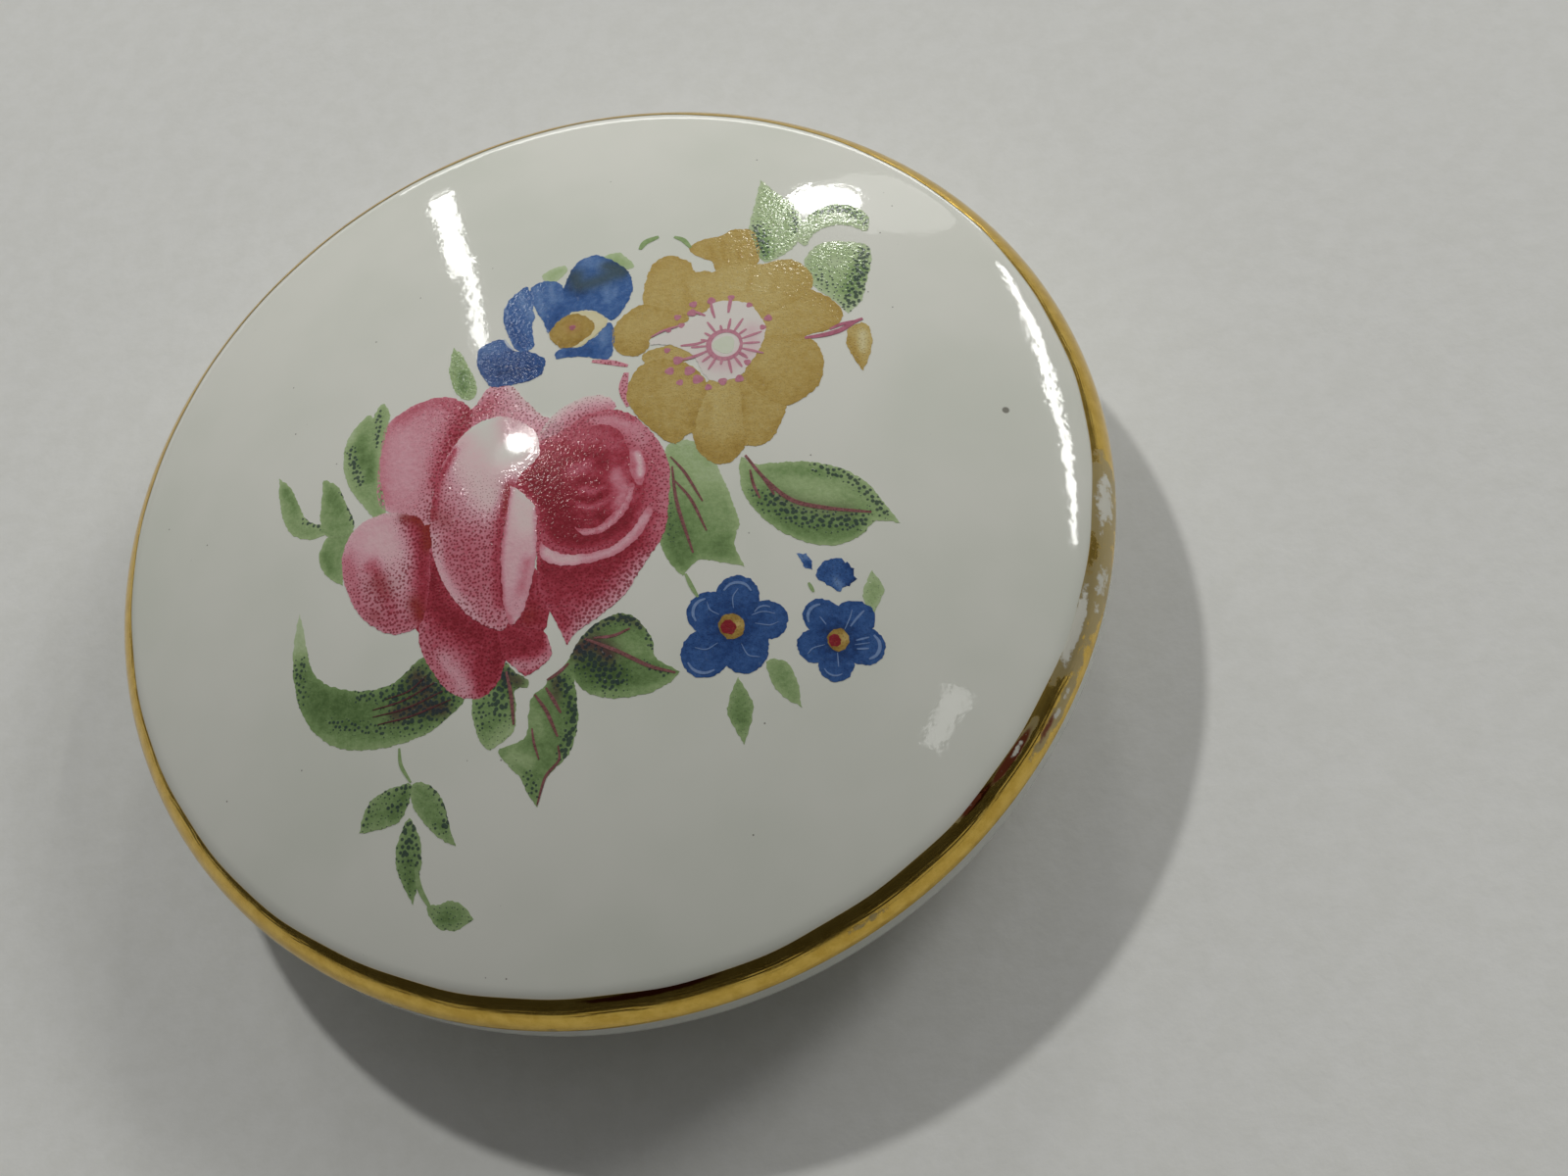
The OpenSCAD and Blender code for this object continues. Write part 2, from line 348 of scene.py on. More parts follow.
# %% Light of the room
def make_room():
    """Dim light from all round: darkest low in front, where the maker sits, palest high behind."""
    world = bpy.data.worlds.new("room")
    world.use_nodes = True
    nodes = world.node_tree.nodes
    links = world.node_tree.links
    place = nodes.new("ShaderNodeTexCoord")
    across = nodes.new("ShaderNodeVectorMath")
    across.operation = "DOT_PRODUCT"
    across.inputs[1].default_value = (0.0, 0.8, 0.6)
    links.new(place.outputs["Generated"], across.inputs[0])
    shade = nodes.new("ShaderNodeMapRange")
    shade.interpolation_type = "SMOOTHSTEP"
    shade.inputs["From Min"].default_value = -0.35
    shade.inputs["From Max"].default_value = 1.0
    shade.inputs["To Min"].default_value = 0.03
    shade.inputs["To Max"].default_value = 0.2
    links.new(across.outputs["Value"], shade.inputs["Value"])
    links.new(shade.outputs["Result"], nodes["Background"].inputs["Strength"])
    nodes["Background"].inputs["Color"].default_value = (1.0, 1.0, 0.98, 1.0)
    bpy.context.scene.world = world


make_room()
bpy.context.scene.view_settings.view_transform = "Standard"
print(f"room light: {bpy.context.scene.world.name}")

# %% [markdown]
# ## Mesh helpers
# Many meshes here are rows of points: rings round the axis, or rows along a pen line. A single function
# turns a block of rows into a mesh, and a film of colour gets its thickness from the Solidify modifier.

# %% Mesh helpers


def sheet_faces(rows, columns, closed=False):
    """Corner numbers of the quads between rows of points."""
    faces = []
    across = columns if closed else columns - 1
    for row in range(rows - 1):
        for column in range(across):
            beside = (column + 1) % columns
            first = row * columns
            faces.append((first + column, first + beside, first + columns + beside, first + columns + column))
    return faces


def sharpen_border(mesh):
    """Marks a sheet's border edges as sharp, so that a thickened film keeps a crisp flat edge."""
    used = np.zeros(len(mesh.edges), dtype=int)
    for loop in mesh.loops:
        used[loop.edge_index] += 1
    for edge in mesh.edges:
        edge.use_edge_sharp = bool(used[edge.index] == 1)


def make_piece(name, points, faces, material, *stands_for, slot=None):
    """A mesh piece from points in millimetres; it rides on the button's one body."""
    mesh = bpy.data.meshes.new(name)
    mesh.from_pydata([tuple(point) for point in np.asarray(points) * MM], [], faces)
    mesh.update()
    mesh.shade_smooth()
    sharpen_border(mesh)
    piece = bpy.data.objects.new(name, mesh)
    bpy.context.scene.collection.objects.link(piece)
    mesh.materials.append(material)
    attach(piece, BODY)
    if stands_for:
        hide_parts(*stands_for)
    return piece


def thicken(piece, thickness):
    """Makes a sheet a closed film, whose thickness goes down from the sheet."""
    solid = piece.modifiers.new("film", "SOLIDIFY")
    solid.thickness = thickness * MM
    solid.offset = -1


def spin(section, turns):
    """Points of a section, as rows of (radius, height), spun round the axis."""
    angles = np.linspace(0, 2 * math.pi, turns, endpoint=False)
    section = np.asarray(section)
    ring = np.empty((len(section), turns, 3))
    ring[:, :, 0] = section[:, :1] * np.cos(angles)
    ring[:, :, 1] = section[:, :1] * np.sin(angles)
    ring[:, :, 2] = section[:, 1:]
    return ring


def arc(centre_r, centre_z, radius, start, end, count):
    """Points on an arc of a section. Angles are the surface's slope from level, in radians."""
    slopes = np.linspace(start, end, count)
    return np.stack([centre_r + radius * np.sin(slopes), centre_z + radius * np.cos(slopes)], axis=1)


print("mesh helpers ready")

# %% [markdown]
# ## Glaze and bare porcelain
# The glaze is a thin layer of clear glass over a white, slightly greenish-grey body. It is very smooth
# but never perfect: it has a faint orange-peel, tiny pin-holes and a few specks of iron. The clear coat
# of the shader makes the sharp reflections and the base below it the soft white. The foot ring was wiped
# clean before firing, so it is matt and a little dirty.

# %% Glaze and bare porcelain
GLAZE_CHART = (233, 233, 225)
GLAZE_WHITE = tint(*GLAZE_CHART)
GLAZE_POOLED = tint(224, 226, 216)
SPECK_BROWN = tint(70, 58, 44)
IRON_SPECK = (15.5, 1.5)
WET = 0.045  # roughness of the clear coat


def make_glaze():
    finish = Mix("clear_glaze")
    cloud = finish.ramp(finish.noise(7, detail=3), 0.35, 0.75)
    speck = finish.math(
        "MULTIPLY",
        finish.ramp(finish.dots(0.7), 0.055, 0.035),
        finish.ramp(finish.noise(1.7, detail=0), 0.56, 0.6),
    )
    iron = finish.ramp(finish.near(IRON_SPECK), 0.16, 0.1)
    speck = finish.math("MAXIMUM", speck, iron)
    white = finish.blend(cloud, GLAZE_WHITE, GLAZE_POOLED)
    peel = finish.noise(0.55, detail=2, roughness=0.55)
    swell = finish.noise(2.6, detail=1)
    finish.set(
        base_color=finish.blend(finish.math("MULTIPLY", speck, 0.7), white, SPECK_BROWN),
        roughness=0.42,
        coat_weight=1.0,
        coat_roughness=WET,
        coat_ior=1.52,
        specular_ior_level=0.0,
        coat_normal=finish.bump(peel, 0.0035, below=finish.bump(swell, 0.01)),
    )
    return finish.material


def make_bare_porcelain():
    finish = Mix("bare_porcelain")
    grit = finish.noise(0.18, detail=5, roughness=0.7)
    stain = finish.ramp(finish.noise(1.6, detail=4), 0.42, 0.7)
    finish.set(
        base_color=finish.blend(stain, tint(224, 218, 204), tint(200, 191, 174)),
        roughness=0.85,
        normal=finish.bump(grit, 0.03, strength=0.8),
    )
    return finish.material


clear_glaze = make_glaze()
bare_porcelain = make_bare_porcelain()
print("glaze and bare porcelain mixed")

# %% [markdown]
# ## Porcelain shell
# A round thing is quickest to make as a section spun round its axis, as a jigger shapes clay in the
# factory. The section runs from the middle of the face over the shoulder, under the rim, down the foot
# ring and back across the hollow to the shank's seat. The foot's faces get the bare material.

# %% Porcelain shell
TURNS = 360
CROWN_SLOPE = 0.0004  # the face starts about 0.02 mm from the axis
SEAT_END_R = 0.02
FOOT_OUTER = DISC_R - FOOT_INSET
HOLLOW_RIM = FOOT_OUTER - FOOT_W
HOLLOW_R = FACE_R - WALL
SEAT_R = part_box("cement_bed")[1].x / MM
SEAT_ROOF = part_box("cement_bed")[1].z / MM
COVE_SLOPE = math.asin((HOLLOW_RIM - COVE_R) / (HOLLOW_R - COVE_R))
COVE_Z = FACE_CENTRE + (HOLLOW_R - COVE_R) * math.cos(COVE_SLOPE)


def shell_section():
    """Rows of (radius, height) and the number of the first and last row of the bare foot."""
    right_angle = math.pi / 2
    face = arc(0, FACE_CENTRE, FACE_R, CROWN_SLOPE, FACE_EDGE_SLOPE, 72)
    shoulder = arc(SHOULDER_X, SHOULDER_Z, SHOULDER_R, FACE_EDGE_SLOPE, right_angle, 26)[1:]
    under = arc(DISC_R - UNDER_R, UNDER_Z, UNDER_R, right_angle, 2 * right_angle, 16)
    flat = [(FOOT_OUTER + 0.12, FOOT_H), (FOOT_OUTER, FOOT_H - 0.1)]
    outer_edge = arc(FOOT_OUTER - FOOT_EDGE_R, FOOT_EDGE_R, FOOT_EDGE_R, right_angle, 2 * right_angle, 6)
    inner_edge = arc(HOLLOW_RIM + FOOT_EDGE_R, FOOT_EDGE_R, FOOT_EDGE_R, -2 * right_angle, -right_angle, 6)
    cove = arc(HOLLOW_RIM - COVE_R, COVE_Z, COVE_R, right_angle, COVE_SLOPE, 12)
    seat_slope = math.asin(SEAT_R / HOLLOW_R)
    roof = arc(0, FACE_CENTRE, HOLLOW_R, COVE_SLOPE, seat_slope, 30)[1:]
    seat = [(SEAT_R, SEAT_ROOF), (SEAT_END_R, SEAT_ROOF)]
    parts = [face, shoulder, under, flat, outer_edge, inner_edge, cove, roof, seat]
    bare_from = sum(len(part) for part in parts[:3]) + 1
    bare_to = sum(len(part) for part in parts[:6])
    return np.concatenate([np.asarray(part) for part in parts]), bare_from, bare_to


def make_shell():
    section, bare_from, bare_to = shell_section()
    rings = spin(section, TURNS)
    on_face = section[:, 1] > SHOULDER_Z
    fade = np.clip((SHOULDER_X - section[:, 0]) / 2, 0, 1) * on_face
    rings[:, :, 2] += fade[:, None] * glaze_wave(rings[:, :, 0], rings[:, :, 1])
    # The section stops just short of the axis at both ends; a fan of triangles closes each end.
    crown = rings[0].mean(axis=0)
    seat_middle = rings[-1].mean(axis=0)
    points = np.vstack([rings.reshape(-1, 3), crown, seat_middle])
    crown_number = len(points) - 2
    seat_number = len(points) - 1
    last_ring = (len(section) - 1) * TURNS
    faces = sheet_faces(len(section), TURNS, closed=True)
    for column in range(TURNS):
        beside = (column + 1) % TURNS
        faces.append((crown_number, beside, column))
        faces.append((seat_number, last_ring + column, last_ring + beside))
    shell = make_piece("porcelain_shell", points, faces, clear_glaze, "porcelain_body", slot="porcelain")
    shell.data.materials.append(bare_porcelain)
    for face in shell.data.polygons[bare_from * TURNS:bare_to * TURNS]:
        face.material_index = 1
    return shell


porcelain_shell = make_shell()
print(f"porcelain shell: {len(porcelain_shell.data.polygons)} faces")

# %% [markdown]
# ## How the flower print is built
# The spray is a fired transfer: thin films of ceramic colour, printed in two passes. The first pass lays
# a pale wash and the second adds fine dots of dark ink, close together in the shadows. Each petal and
# leaf here is its own thin film with its own outline. Every mesh point carries three numbers: tone, how
# strong the wash is; dots, how large the dark dots are; and accent, how much of a second ink is there.
# They are painted with soft brush strokes, so a stroke is only a value, a width and a few points.

# %% Outlines and brush strokes
RAGGED = 0.018  # how far the printed edge wanders


def smooth(points, closed=False, step=0.13):
    """Rounded line through a few points. A third number of 1 marks a sharp tip."""
    spots = np.array([(*point, 0)[:3] for point in points], dtype=float)
    place = spots[:, :2]
    ahead = np.roll(place, -1, axis=0) - place
    behind = place - np.roll(place, 1, axis=0)
    if not closed:
        ahead[-1] = behind[-1]
        behind[0] = ahead[0]
    slope = (ahead + behind) / 2
    shorter = np.minimum(np.linalg.norm(ahead, axis=1), np.linalg.norm(behind, axis=1))
    slope *= np.minimum(1, shorter / np.maximum(np.linalg.norm(slope, axis=1), 1e-9))[:, None]
    slope *= 1 - spots[:, 2:]
    pieces = []
    for this in range(len(place) if closed else len(place) - 1):
        following = (this + 1) % len(place)
        count = max(2, round(np.linalg.norm(place[following] - place[this]) / step))
        t = np.linspace(0, 1, count, endpoint=False)[:, None]
        pieces.append(
            (2 * t ** 3 - 3 * t ** 2 + 1) * place[this] + (t ** 3 - 2 * t ** 2 + t) * slope[this]
            + (3 * t ** 2 - 2 * t ** 3) * place[following] + (t ** 3 - t ** 2) * slope[following]
        )
    if not closed:
        pieces.append(place[-1:])
    return np.concatenate(pieces)


def ragged(outline):
    """An outline with the small unsteadiness of a printed edge."""
    x = outline[:, 0]
    y = outline[:, 1]
    across = np.sin(17 * x + 9 * y) + 0.8 * np.sin(37 * y - 13 * x + 1)
    along = np.sin(15 * y - 11 * x) + 0.8 * np.sin(35 * x + 17 * y + 2)
    return outline + RAGGED * np.column_stack([across, along])


def reach(places, path):
    """Distance of each place from the nearest point of a path."""
    path = smooth(path) if isinstance(path, list) and len(path) > 2 else np.array(path, dtype=float)
    nearest = np.linalg.norm(places - path[0, :2], axis=1)
    for start, end in zip(path[:-1], path[1:]):
        along = end - start
        share = np.clip((places - start) @ along / (along @ along), 0, 1)
        nearest = np.minimum(nearest, np.linalg.norm(places - start - share[:, None] * along, axis=1))
    return nearest


def brush(places, base, strokes):
    """A value at each place: the base, with soft strokes of (value, width, path) over it."""
    value = np.full(len(places), float(base))
    for amount, width, path in strokes:
        value += (amount - value) * np.exp(-((reach(places, path) / width) ** 2))
    return np.clip(value, 0, 1)


print("brush ready")

# %% [markdown]
# ## Filling an outline
# Blender's Delaunay helper fills any outline with triangles and keeps the extra points it is given. A
# grid of those points inside the outline lets the film follow the dome and carry the painted values.

# %% Filling an outline
POINT_GAP = 0.13
ROW_GAP = POINT_GAP * 0.87  # rows of an even triangular grid lie closer than its points


def inside(places, outline):
    """True for the places inside a closed outline, by counting its crossings to the right."""
    found = np.zeros(len(places), dtype=bool)
    x = places[:, 0]
    y = places[:, 1]
    for (x0, y0), (x1, y1) in zip(outline, np.roll(outline, -1, axis=0)):
        if y0 == y1:
            continue
        crosses = (y0 > y) != (y1 > y)
        found ^= crosses & (x < x0 + (y - y0) * (x1 - x0) / (y1 - y0))
    return found


def fill(outline):
    """Triangles inside an outline: places and faces."""
    low = outline.min(axis=0)
    high = outline.max(axis=0)
    columns = np.arange(low[0], high[0], POINT_GAP)
    rows = np.arange(low[1], high[1], ROW_GAP)
    grid = np.array([(x + POINT_GAP / 2 * (row % 2), y) for row, y in enumerate(rows) for x in columns])
    grid = grid[inside(grid, outline)]
    edge_gap = reach(grid, np.concatenate([outline, outline[:1]])) if len(grid) else np.zeros(0)
    grid = grid[edge_gap > POINT_GAP * 0.5]
    spots = [Vector(spot) for spot in np.concatenate([outline, grid])]
    filled = delaunay_2d_cdt(spots, [], [list(range(len(outline)))], 1, 1e-6)
    return np.array([tuple(spot) for spot in filled[0]]), filled[2]


print("outlines can be filled")

# %% [markdown]
# ## Laying a film on the face
# A flat film is lifted onto the dome, a hundredth of a millimetre or so above the glaze, and gets its
# thickness downward. Later shapes lie a layer higher, so that no two films fight for the same place.

# %% Laying a film on the face
FIRST_LAYER = 0.007  # top of the lowest film above the glaze
LAYER = 0.002
FILM = 0.004
OUTLINE_STEP = 0.09
BORDER_REACH = 0.16  # how far an ink's paler or darker border reaches in
PRINTED = []


def on_face(places, layer):
    """Lifts flat places onto the glazed face, at a layer of the print."""
    height = face_height(places[:, 0], places[:, 1]) + FIRST_LAYER + LAYER * layer
    return np.column_stack([places, height])


def carry(piece, name, values):
    """Stores one number at each point of a piece's mesh."""
    layer = piece.data.attributes.new(name, "FLOAT", "POINT")
    layer.data.foreach_set("value", np.asarray(values, dtype=np.float32))


def lay_film(name, ink, layer, places, faces, tone, dots=0.0, accent=0.0):
    """A thin closed film from flat places, with the three numbers carried at each point."""
    piece = make_piece(name, on_face(places, layer), faces, ink.finish, ink.node, slot=ink.node)
    for number, value in (("tone", tone), ("dots", dots), ("accent", accent)):
        carry(piece, number, np.broadcast_to(value, len(places)))
    thicken(piece, FILM)
    PRINTED.append(name)


def film(name, ink, layer, outline, tone, strokes=(), dots=0.0, dot_strokes=(), accent=()):
    """One printed shape with its tone, dots and accent painted on."""
    outline = ragged(smooth(outline, closed=True, step=OUTLINE_STEP))
    places, faces = fill(outline)
    from_edge = reach(places, np.concatenate([outline, outline[:1]]))
    border = ink.border * np.exp(-((from_edge / BORDER_REACH) ** 2))
    tones = brush(places, tone, strokes) + border
    lay_film(
        name, ink, layer, places, faces, tones, brush(places, dots, dot_strokes), brush(places, 0.0, accent),
    )


print("films can be laid")

# %% [markdown]
# ## Pen lines and spots
# Veins, stamens and anthers were drawn with a pen. A line is a narrow strip along a smooth path that
# swells in its middle and tapers to its ends, and a spot is a small fan with a wavy edge. Many lines
# or spots of one colour are joined in one piece, as they were drawn in one pass.

# %% Pen lines and spots
PEN_STEP = 0.1
SPOT_SIDES = 14


def flat_lines(name, ink, layer, lines, tone=0.8, dots=0.0):
    """Tapered pen lines of (width, path), joined in one piece."""
    places = []
    faces = []
    for width, path in lines:
        line = smooth(path, step=PEN_STEP)
        run = np.gradient(line, axis=0)
        side = np.column_stack([-run[:, 1], run[:, 0]]) / np.linalg.norm(run, axis=1)[:, None]
        share = np.linspace(0, 1, len(line))
        half = width / 2 * (0.25 + 0.75 * np.sin(math.pi * (0.12 + 0.76 * share)))
        rows = np.stack([line - side * half[:, None], line, line + side * half[:, None]], axis=1)
        start = len(places)
        places.extend(rows.reshape(-1, 2))
        faces.extend(tuple(start + corner for corner in face) for face in sheet_faces(len(line), 3))
    lay_film(name, ink, layer, np.array(places), faces, tone, dots)


def flat_spots(name, ink, layer, spots, tone=0.8):
    """Small round touches of (x, y, radius), joined in one piece."""
    places = []
    faces = []
    for x, y, radius in spots:
        start = len(places)
        places.append((x, y))
        for step in range(SPOT_SIDES):
            turn = 2 * math.pi * step / SPOT_SIDES
            swell = radius * (1 + 0.12 * math.sin(3 * turn + 5 * x + 3 * y))
            places.append((x + swell * math.cos(turn), y + swell * math.sin(turn)))
            faces.append((start, start + 1 + step, start + 1 + (step + 1) % SPOT_SIDES))
    lay_film(name, ink, layer, np.array(places), faces, tone)


print("pen ready")

# %% [markdown]
# ## Ceramic inks
# One recipe serves all the inks. The wash is a colour ramp read by tone, from bare glaze to full
# strength. The dots are Voronoi cells: their distance from the cell's middle is compared with the dots
# number, so a larger number gives a larger dot. Fired enamel stands about a hundredth of a millimetre
# proud and has its own gloss, so its grain and dots break up a reflection that crosses them.

# %% Ceramic inks
class Ink:
    """A printed colour: its finish, and the node of the frame that it stands for."""

    def __init__(self, node, washes, dot_colour, accent_colour, dot_gap=0.15, dot_strength=0.8, border=0.0):
        self.node = node
        self.border = border
        mix = Mix(node + "_ink")
        wash = mix.nodes.new("ShaderNodeValToRGB")
        ramp = wash.color_ramp
        for stop in np.linspace(0, 1, len(washes))[1:-1]:
            ramp.elements.new(stop)
        for entry, colour in zip(ramp.elements, washes):
            entry.color = tint(*colour)
        uneven = mix.math("MULTIPLY_ADD", mix.noise(0.22, detail=4, roughness=0.7), 0.7, -0.35)
        strength = mix.math("MULTIPLY", uneven, mix.told("tone"))
        mix.links.new(mix.math("ADD", mix.told("tone"), strength), wash.inputs["Fac"])
        second = mix.blend(mix.told("accent"), wash.outputs["Color"], tint(*accent_colour))
        room = mix.math("MULTIPLY_ADD", mix.told("dots"), 0.62, -0.06)
        dot = mix.ramp(mix.math("SUBTRACT", room, mix.dots(dot_gap, 0.85, flat=True)), -0.07, 0.07)
        colour = mix.blend(mix.math("MULTIPLY", dot, dot_strength), second, tint(*dot_colour))
        cover = mix.ramp(mix.told("tone"), 0.1, 0.35)
        grains = mix.math("MULTIPLY", mix.noise(0.13, detail=2), cover)
        relief = mix.bump(grains, 0.016, below=mix.bump(dot, 0.005))
        mix.set(
            base_color=colour,
            roughness=0.6,
            specular_ior_level=0.0,
            coat_weight=1.0,
            coat_roughness=WET,
            coat_ior=1.5,
            normal=relief,
            coat_normal=relief,
        )
        self.finish = mix.material


BARE = GLAZE_CHART
ROSE = Ink(
    "rose_enamel",
    [BARE, (240, 208, 211), (231, 174, 187), (217, 136, 152), (198, 92, 111), (174, 56, 74), (142, 32, 47)],
    (138, 26, 42), (146, 46, 28), dot_gap=0.135, border=-0.08,
)
OCHRE = Ink(
    "ochre_enamel",
    [BARE, (228, 220, 184), (216, 202, 148), (204, 181, 116), (190, 161, 90), (170, 138, 66), (142, 110, 48)],
    (150, 116, 54), (176, 106, 88), dot_gap=0.12, dot_strength=0.5, border=0.05,
)
BLUE = Ink(
    "blue_enamel",
    [BARE, (176, 193, 220), (138, 160, 202), (100, 134, 186), (60, 100, 162), (34, 72, 132), (20, 42, 84)],
    (26, 40, 84), (72, 88, 80), dot_gap=0.12, dot_strength=0.5,
)
LEAF = Ink(
    "leaf_enamel",
    [BARE, (200, 214, 178), (168, 190, 138), (130, 158, 102), (94, 122, 70), (70, 94, 50), (54, 70, 40)],
    (36, 52, 62), (84, 48, 58), dot_gap=0.185, border=-0.1,
)
STEM = Ink(
    "stem_enamel",
    [BARE, (226, 190, 198), (210, 150, 166), (188, 112, 134), (140, 92, 90), (108, 60, 62), (80, 44, 50)],
    (64, 38, 56), (140, 160, 104), dot_gap=0.13, dot_strength=0.6,
)
print("five inks mixed")

# %% [markdown]
# ## The rose
# The rose is the heart of the spray. It is built petal by petal, back ones first, and each later petal
# lies one layer higher. The printer's trick is contrast: every pale turned edge lies against a shadow.

# %% Outer petals of the rose
film(
    "rose_back_shadow", ROSE, 0,
    [(-6.3, -0.5), (-5.2, 0.5), (-4.8, 1.4), (-4.1, 1.6), (-3.4, -1), (-2, -3.2), (-1.0, -3.9), (-0.75, -5.2),
     (-1.1, -6.2), (-2.6, -6.6), (-3.6, -6.0), (-5.5, -5.5), (-6.0, -4), (-5.8, -2)],
    0.88, (), 0.4, (), [(0.8, 0.5, [(-5.3, 0), (-5.4, -2.4), (-5.4, -4.4)])],
)
film(
    "rose_upper_left_petal", ROSE, 1,
    [(-7.2, 3.3), (-6.4, 3.9), (-5.3, 4.15), (-4.4, 3.9), (-3.7, 3.1), (-3.9, 2.2), (-4.5, 1.2),
     (-4.7, 0), (-5.1, -1.2), (-5.9, -1.1), (-6.6, -0.6), (-7.3, 0), (-7.4, 1.5)],
    0.42,
    [(0.62, 0.5, [(-6.7, 3.7), (-5.4, 4.1), (-4.4, 3.8)]), (0.78, 0.6, [(-3.9, 3.2), (-4.4, 2), (-4.8, 0.6)]),
     (0.56, 0.25, [(-7.2, 3.1), (-7.4, 1.6), (-7.2, 0.2)]), (0.36, 0.7, [(-6.4, 2.4), (-6.2, 0.8)])],
    0.30, [(0.75, 0.7, [(-4, 3), (-4.7, 1), (-5.1, -0.8)]), (0.12, 0.9, [(-6.5, 2.2), (-6.4, 0.8)])],
)
film(
    "rose_round_petal", ROSE, 2,
    [(-8.7, -2.3), (-8.55, -1.3), (-8, -0.7), (-7.1, -0.45), (-6.2, -0.65), (-5.5, -1.1), (-5.2, -2.4),
     (-5.2, -3.8), (-5.5, -5), (-6.4, -5.3), (-7.3, -4.9), (-8.2, -3.9)],
    0.37,
    [(0.24, 1.1, [(-7.3, -1.5), (-6.9, -2.2)]), (0.86, 0.5, [(-5.7, -0.9), (-5.4, -2.2), (-5.4, -4.9)]),
     (0.56, 0.5, [(-8.6, -2.2), (-8.1, -3.8), (-7.2, -4.8), (-6.2, -5.2)]),
     (0.62, 0.35, [(-7.5, -2.5), (-7.0, -3.4), (-6.6, -4.6)]), (0.3, 0.35, [(-6.5, -2.6), (-6.5, -3.4)])],
    0.42, [(0.05, 1.0, [(-7.6, -1.3), (-7, -1.4)]), (0.7, 0.8, [(-7.3, -3.6), (-6.4, -4.7)]),
           (0.7, 0.4, [(-6.2, -1), (-5.7, -2), (-6.1, -3.2)])],
    [(0.85, 0.22, [(-6.3, -0.75), (-5.5, -1.2), (-5.3, -2.2)]), (0.8, 0.3, [(-5.8, -4.2), (-5.5, -4.8)]),
     (0.5, 0.45, [(-7.2, -3.2), (-6.9, -3.5)]), (0.4, 0.3, [(-7.3, -4.4)])],
)
film(
    "rose_lower_left_petal", ROSE, 1,
    [(-5.6, -4.8), (-5.5, -6.1), (-4.9, -7.2), (-4.2, -7.9), (-3.3, -8.1), (-2.7, -7.7), (-2.4, -7),
     (-2.1, -6.2), (-2.3, -5.2), (-3.4, -4.6), (-4.4, -3.4), (-5, -2.2), (-5.5, -2.6)],
    0.64,
    [(0.95, 0.55, [(-5.2, -3.2), (-4.9, -4.4), (-3.8, -5.6), (-2.7, -6.2), (-2.9, -7.2)]),
     (0.38, 0.42, [(-4.7, -6.5), (-4.2, -7.2), (-3.9, -7.7)]), (0.85, 0.35, [(-3.3, -6.4), (-3.1, -7.8)]),
     (0.6, 0.25, [(-5.5, -5.2), (-5.3, -6.3), (-4.7, -7.3)])],
    0.6, [(0.3, 0.4, [(-4.5, -6.7), (-4, -7.5)])],
)
film(
    "rose_lower_right_petal", ROSE, 2,
    [(-2.6, -5.5), (-1.8, -5.85), (-0.95, -6.05), (-0.75, -6.5), (-0.75, -7), (-1.2, -7.35),
     (-1.7, -7.55, 1), (-2.2, -7.05), (-2.5, -6.6)],
    0.9, [(0.42, 0.25, [(-2, -7.1), (-1.5, -7.2), (-0.8, -6.95)]), (0.55, 0.2, [(-0.75, -6.3), (-0.75, -7)])],
    0.5,
)
film(
    "rose_small_sepal", ROSE, 3,
    [(-1.85, -5.65), (-1.6, -4.9), (-1.2, -4.2, 1), (-1.0, -4.9), (-0.85, -5.5), (-0.95, -5.95),
     (-1.5, -5.85)],
    0.85, (), 0.6, (), [(0.5, 0.4, [(-1.5, -5.4)])],
)
film(
    "rose_top_petal", ROSE, 0,
    [(-4.1, 2.8), (-3.6, 3.5), (-3.1, 4.15), (-2.3, 4.1), (-1.7, 3.3), (-1.0, 2.5), (-0.2, 1.9), (-1.4, 1.2)],
    0.42, [(0.2, 0.6, [(-1.9, 3.9), (-0.9, 2.9)]), (0.65, 0.4, [(-3.9, 2.9), (-3.1, 3.3)])], 0.5,
)
film(
    "rose_blush", ROSE, 0,
    [(-1.3, 0.8), (-0.9, 2.1), (-0.3, 2.7), (0.5, 3.05), (1.3, 3.0), (1.7, 2.4), (0.8, 1.8), (0, 0.8)],
    0.14, [(0.5, 0.5, [(-0.8, 1.2), (0.3, 2.1), (1.6, 2.3)])], 0.34, [(0.6, 0.4, [(-0.6, 1.4), (0.5, 2.2)])],
)
print(f"{len(PRINTED)} printed pieces")

# %% [markdown]
# ## The heart of the rose
# The body of the rose and its deep bowl are two shapes, one on the other. The curled inner petals are
# brush strokes on the bowl, since their edges are soft. Only the two pale crescents, the pale oval, the
# big front petal and its turned edge are films of their own, laid over it.

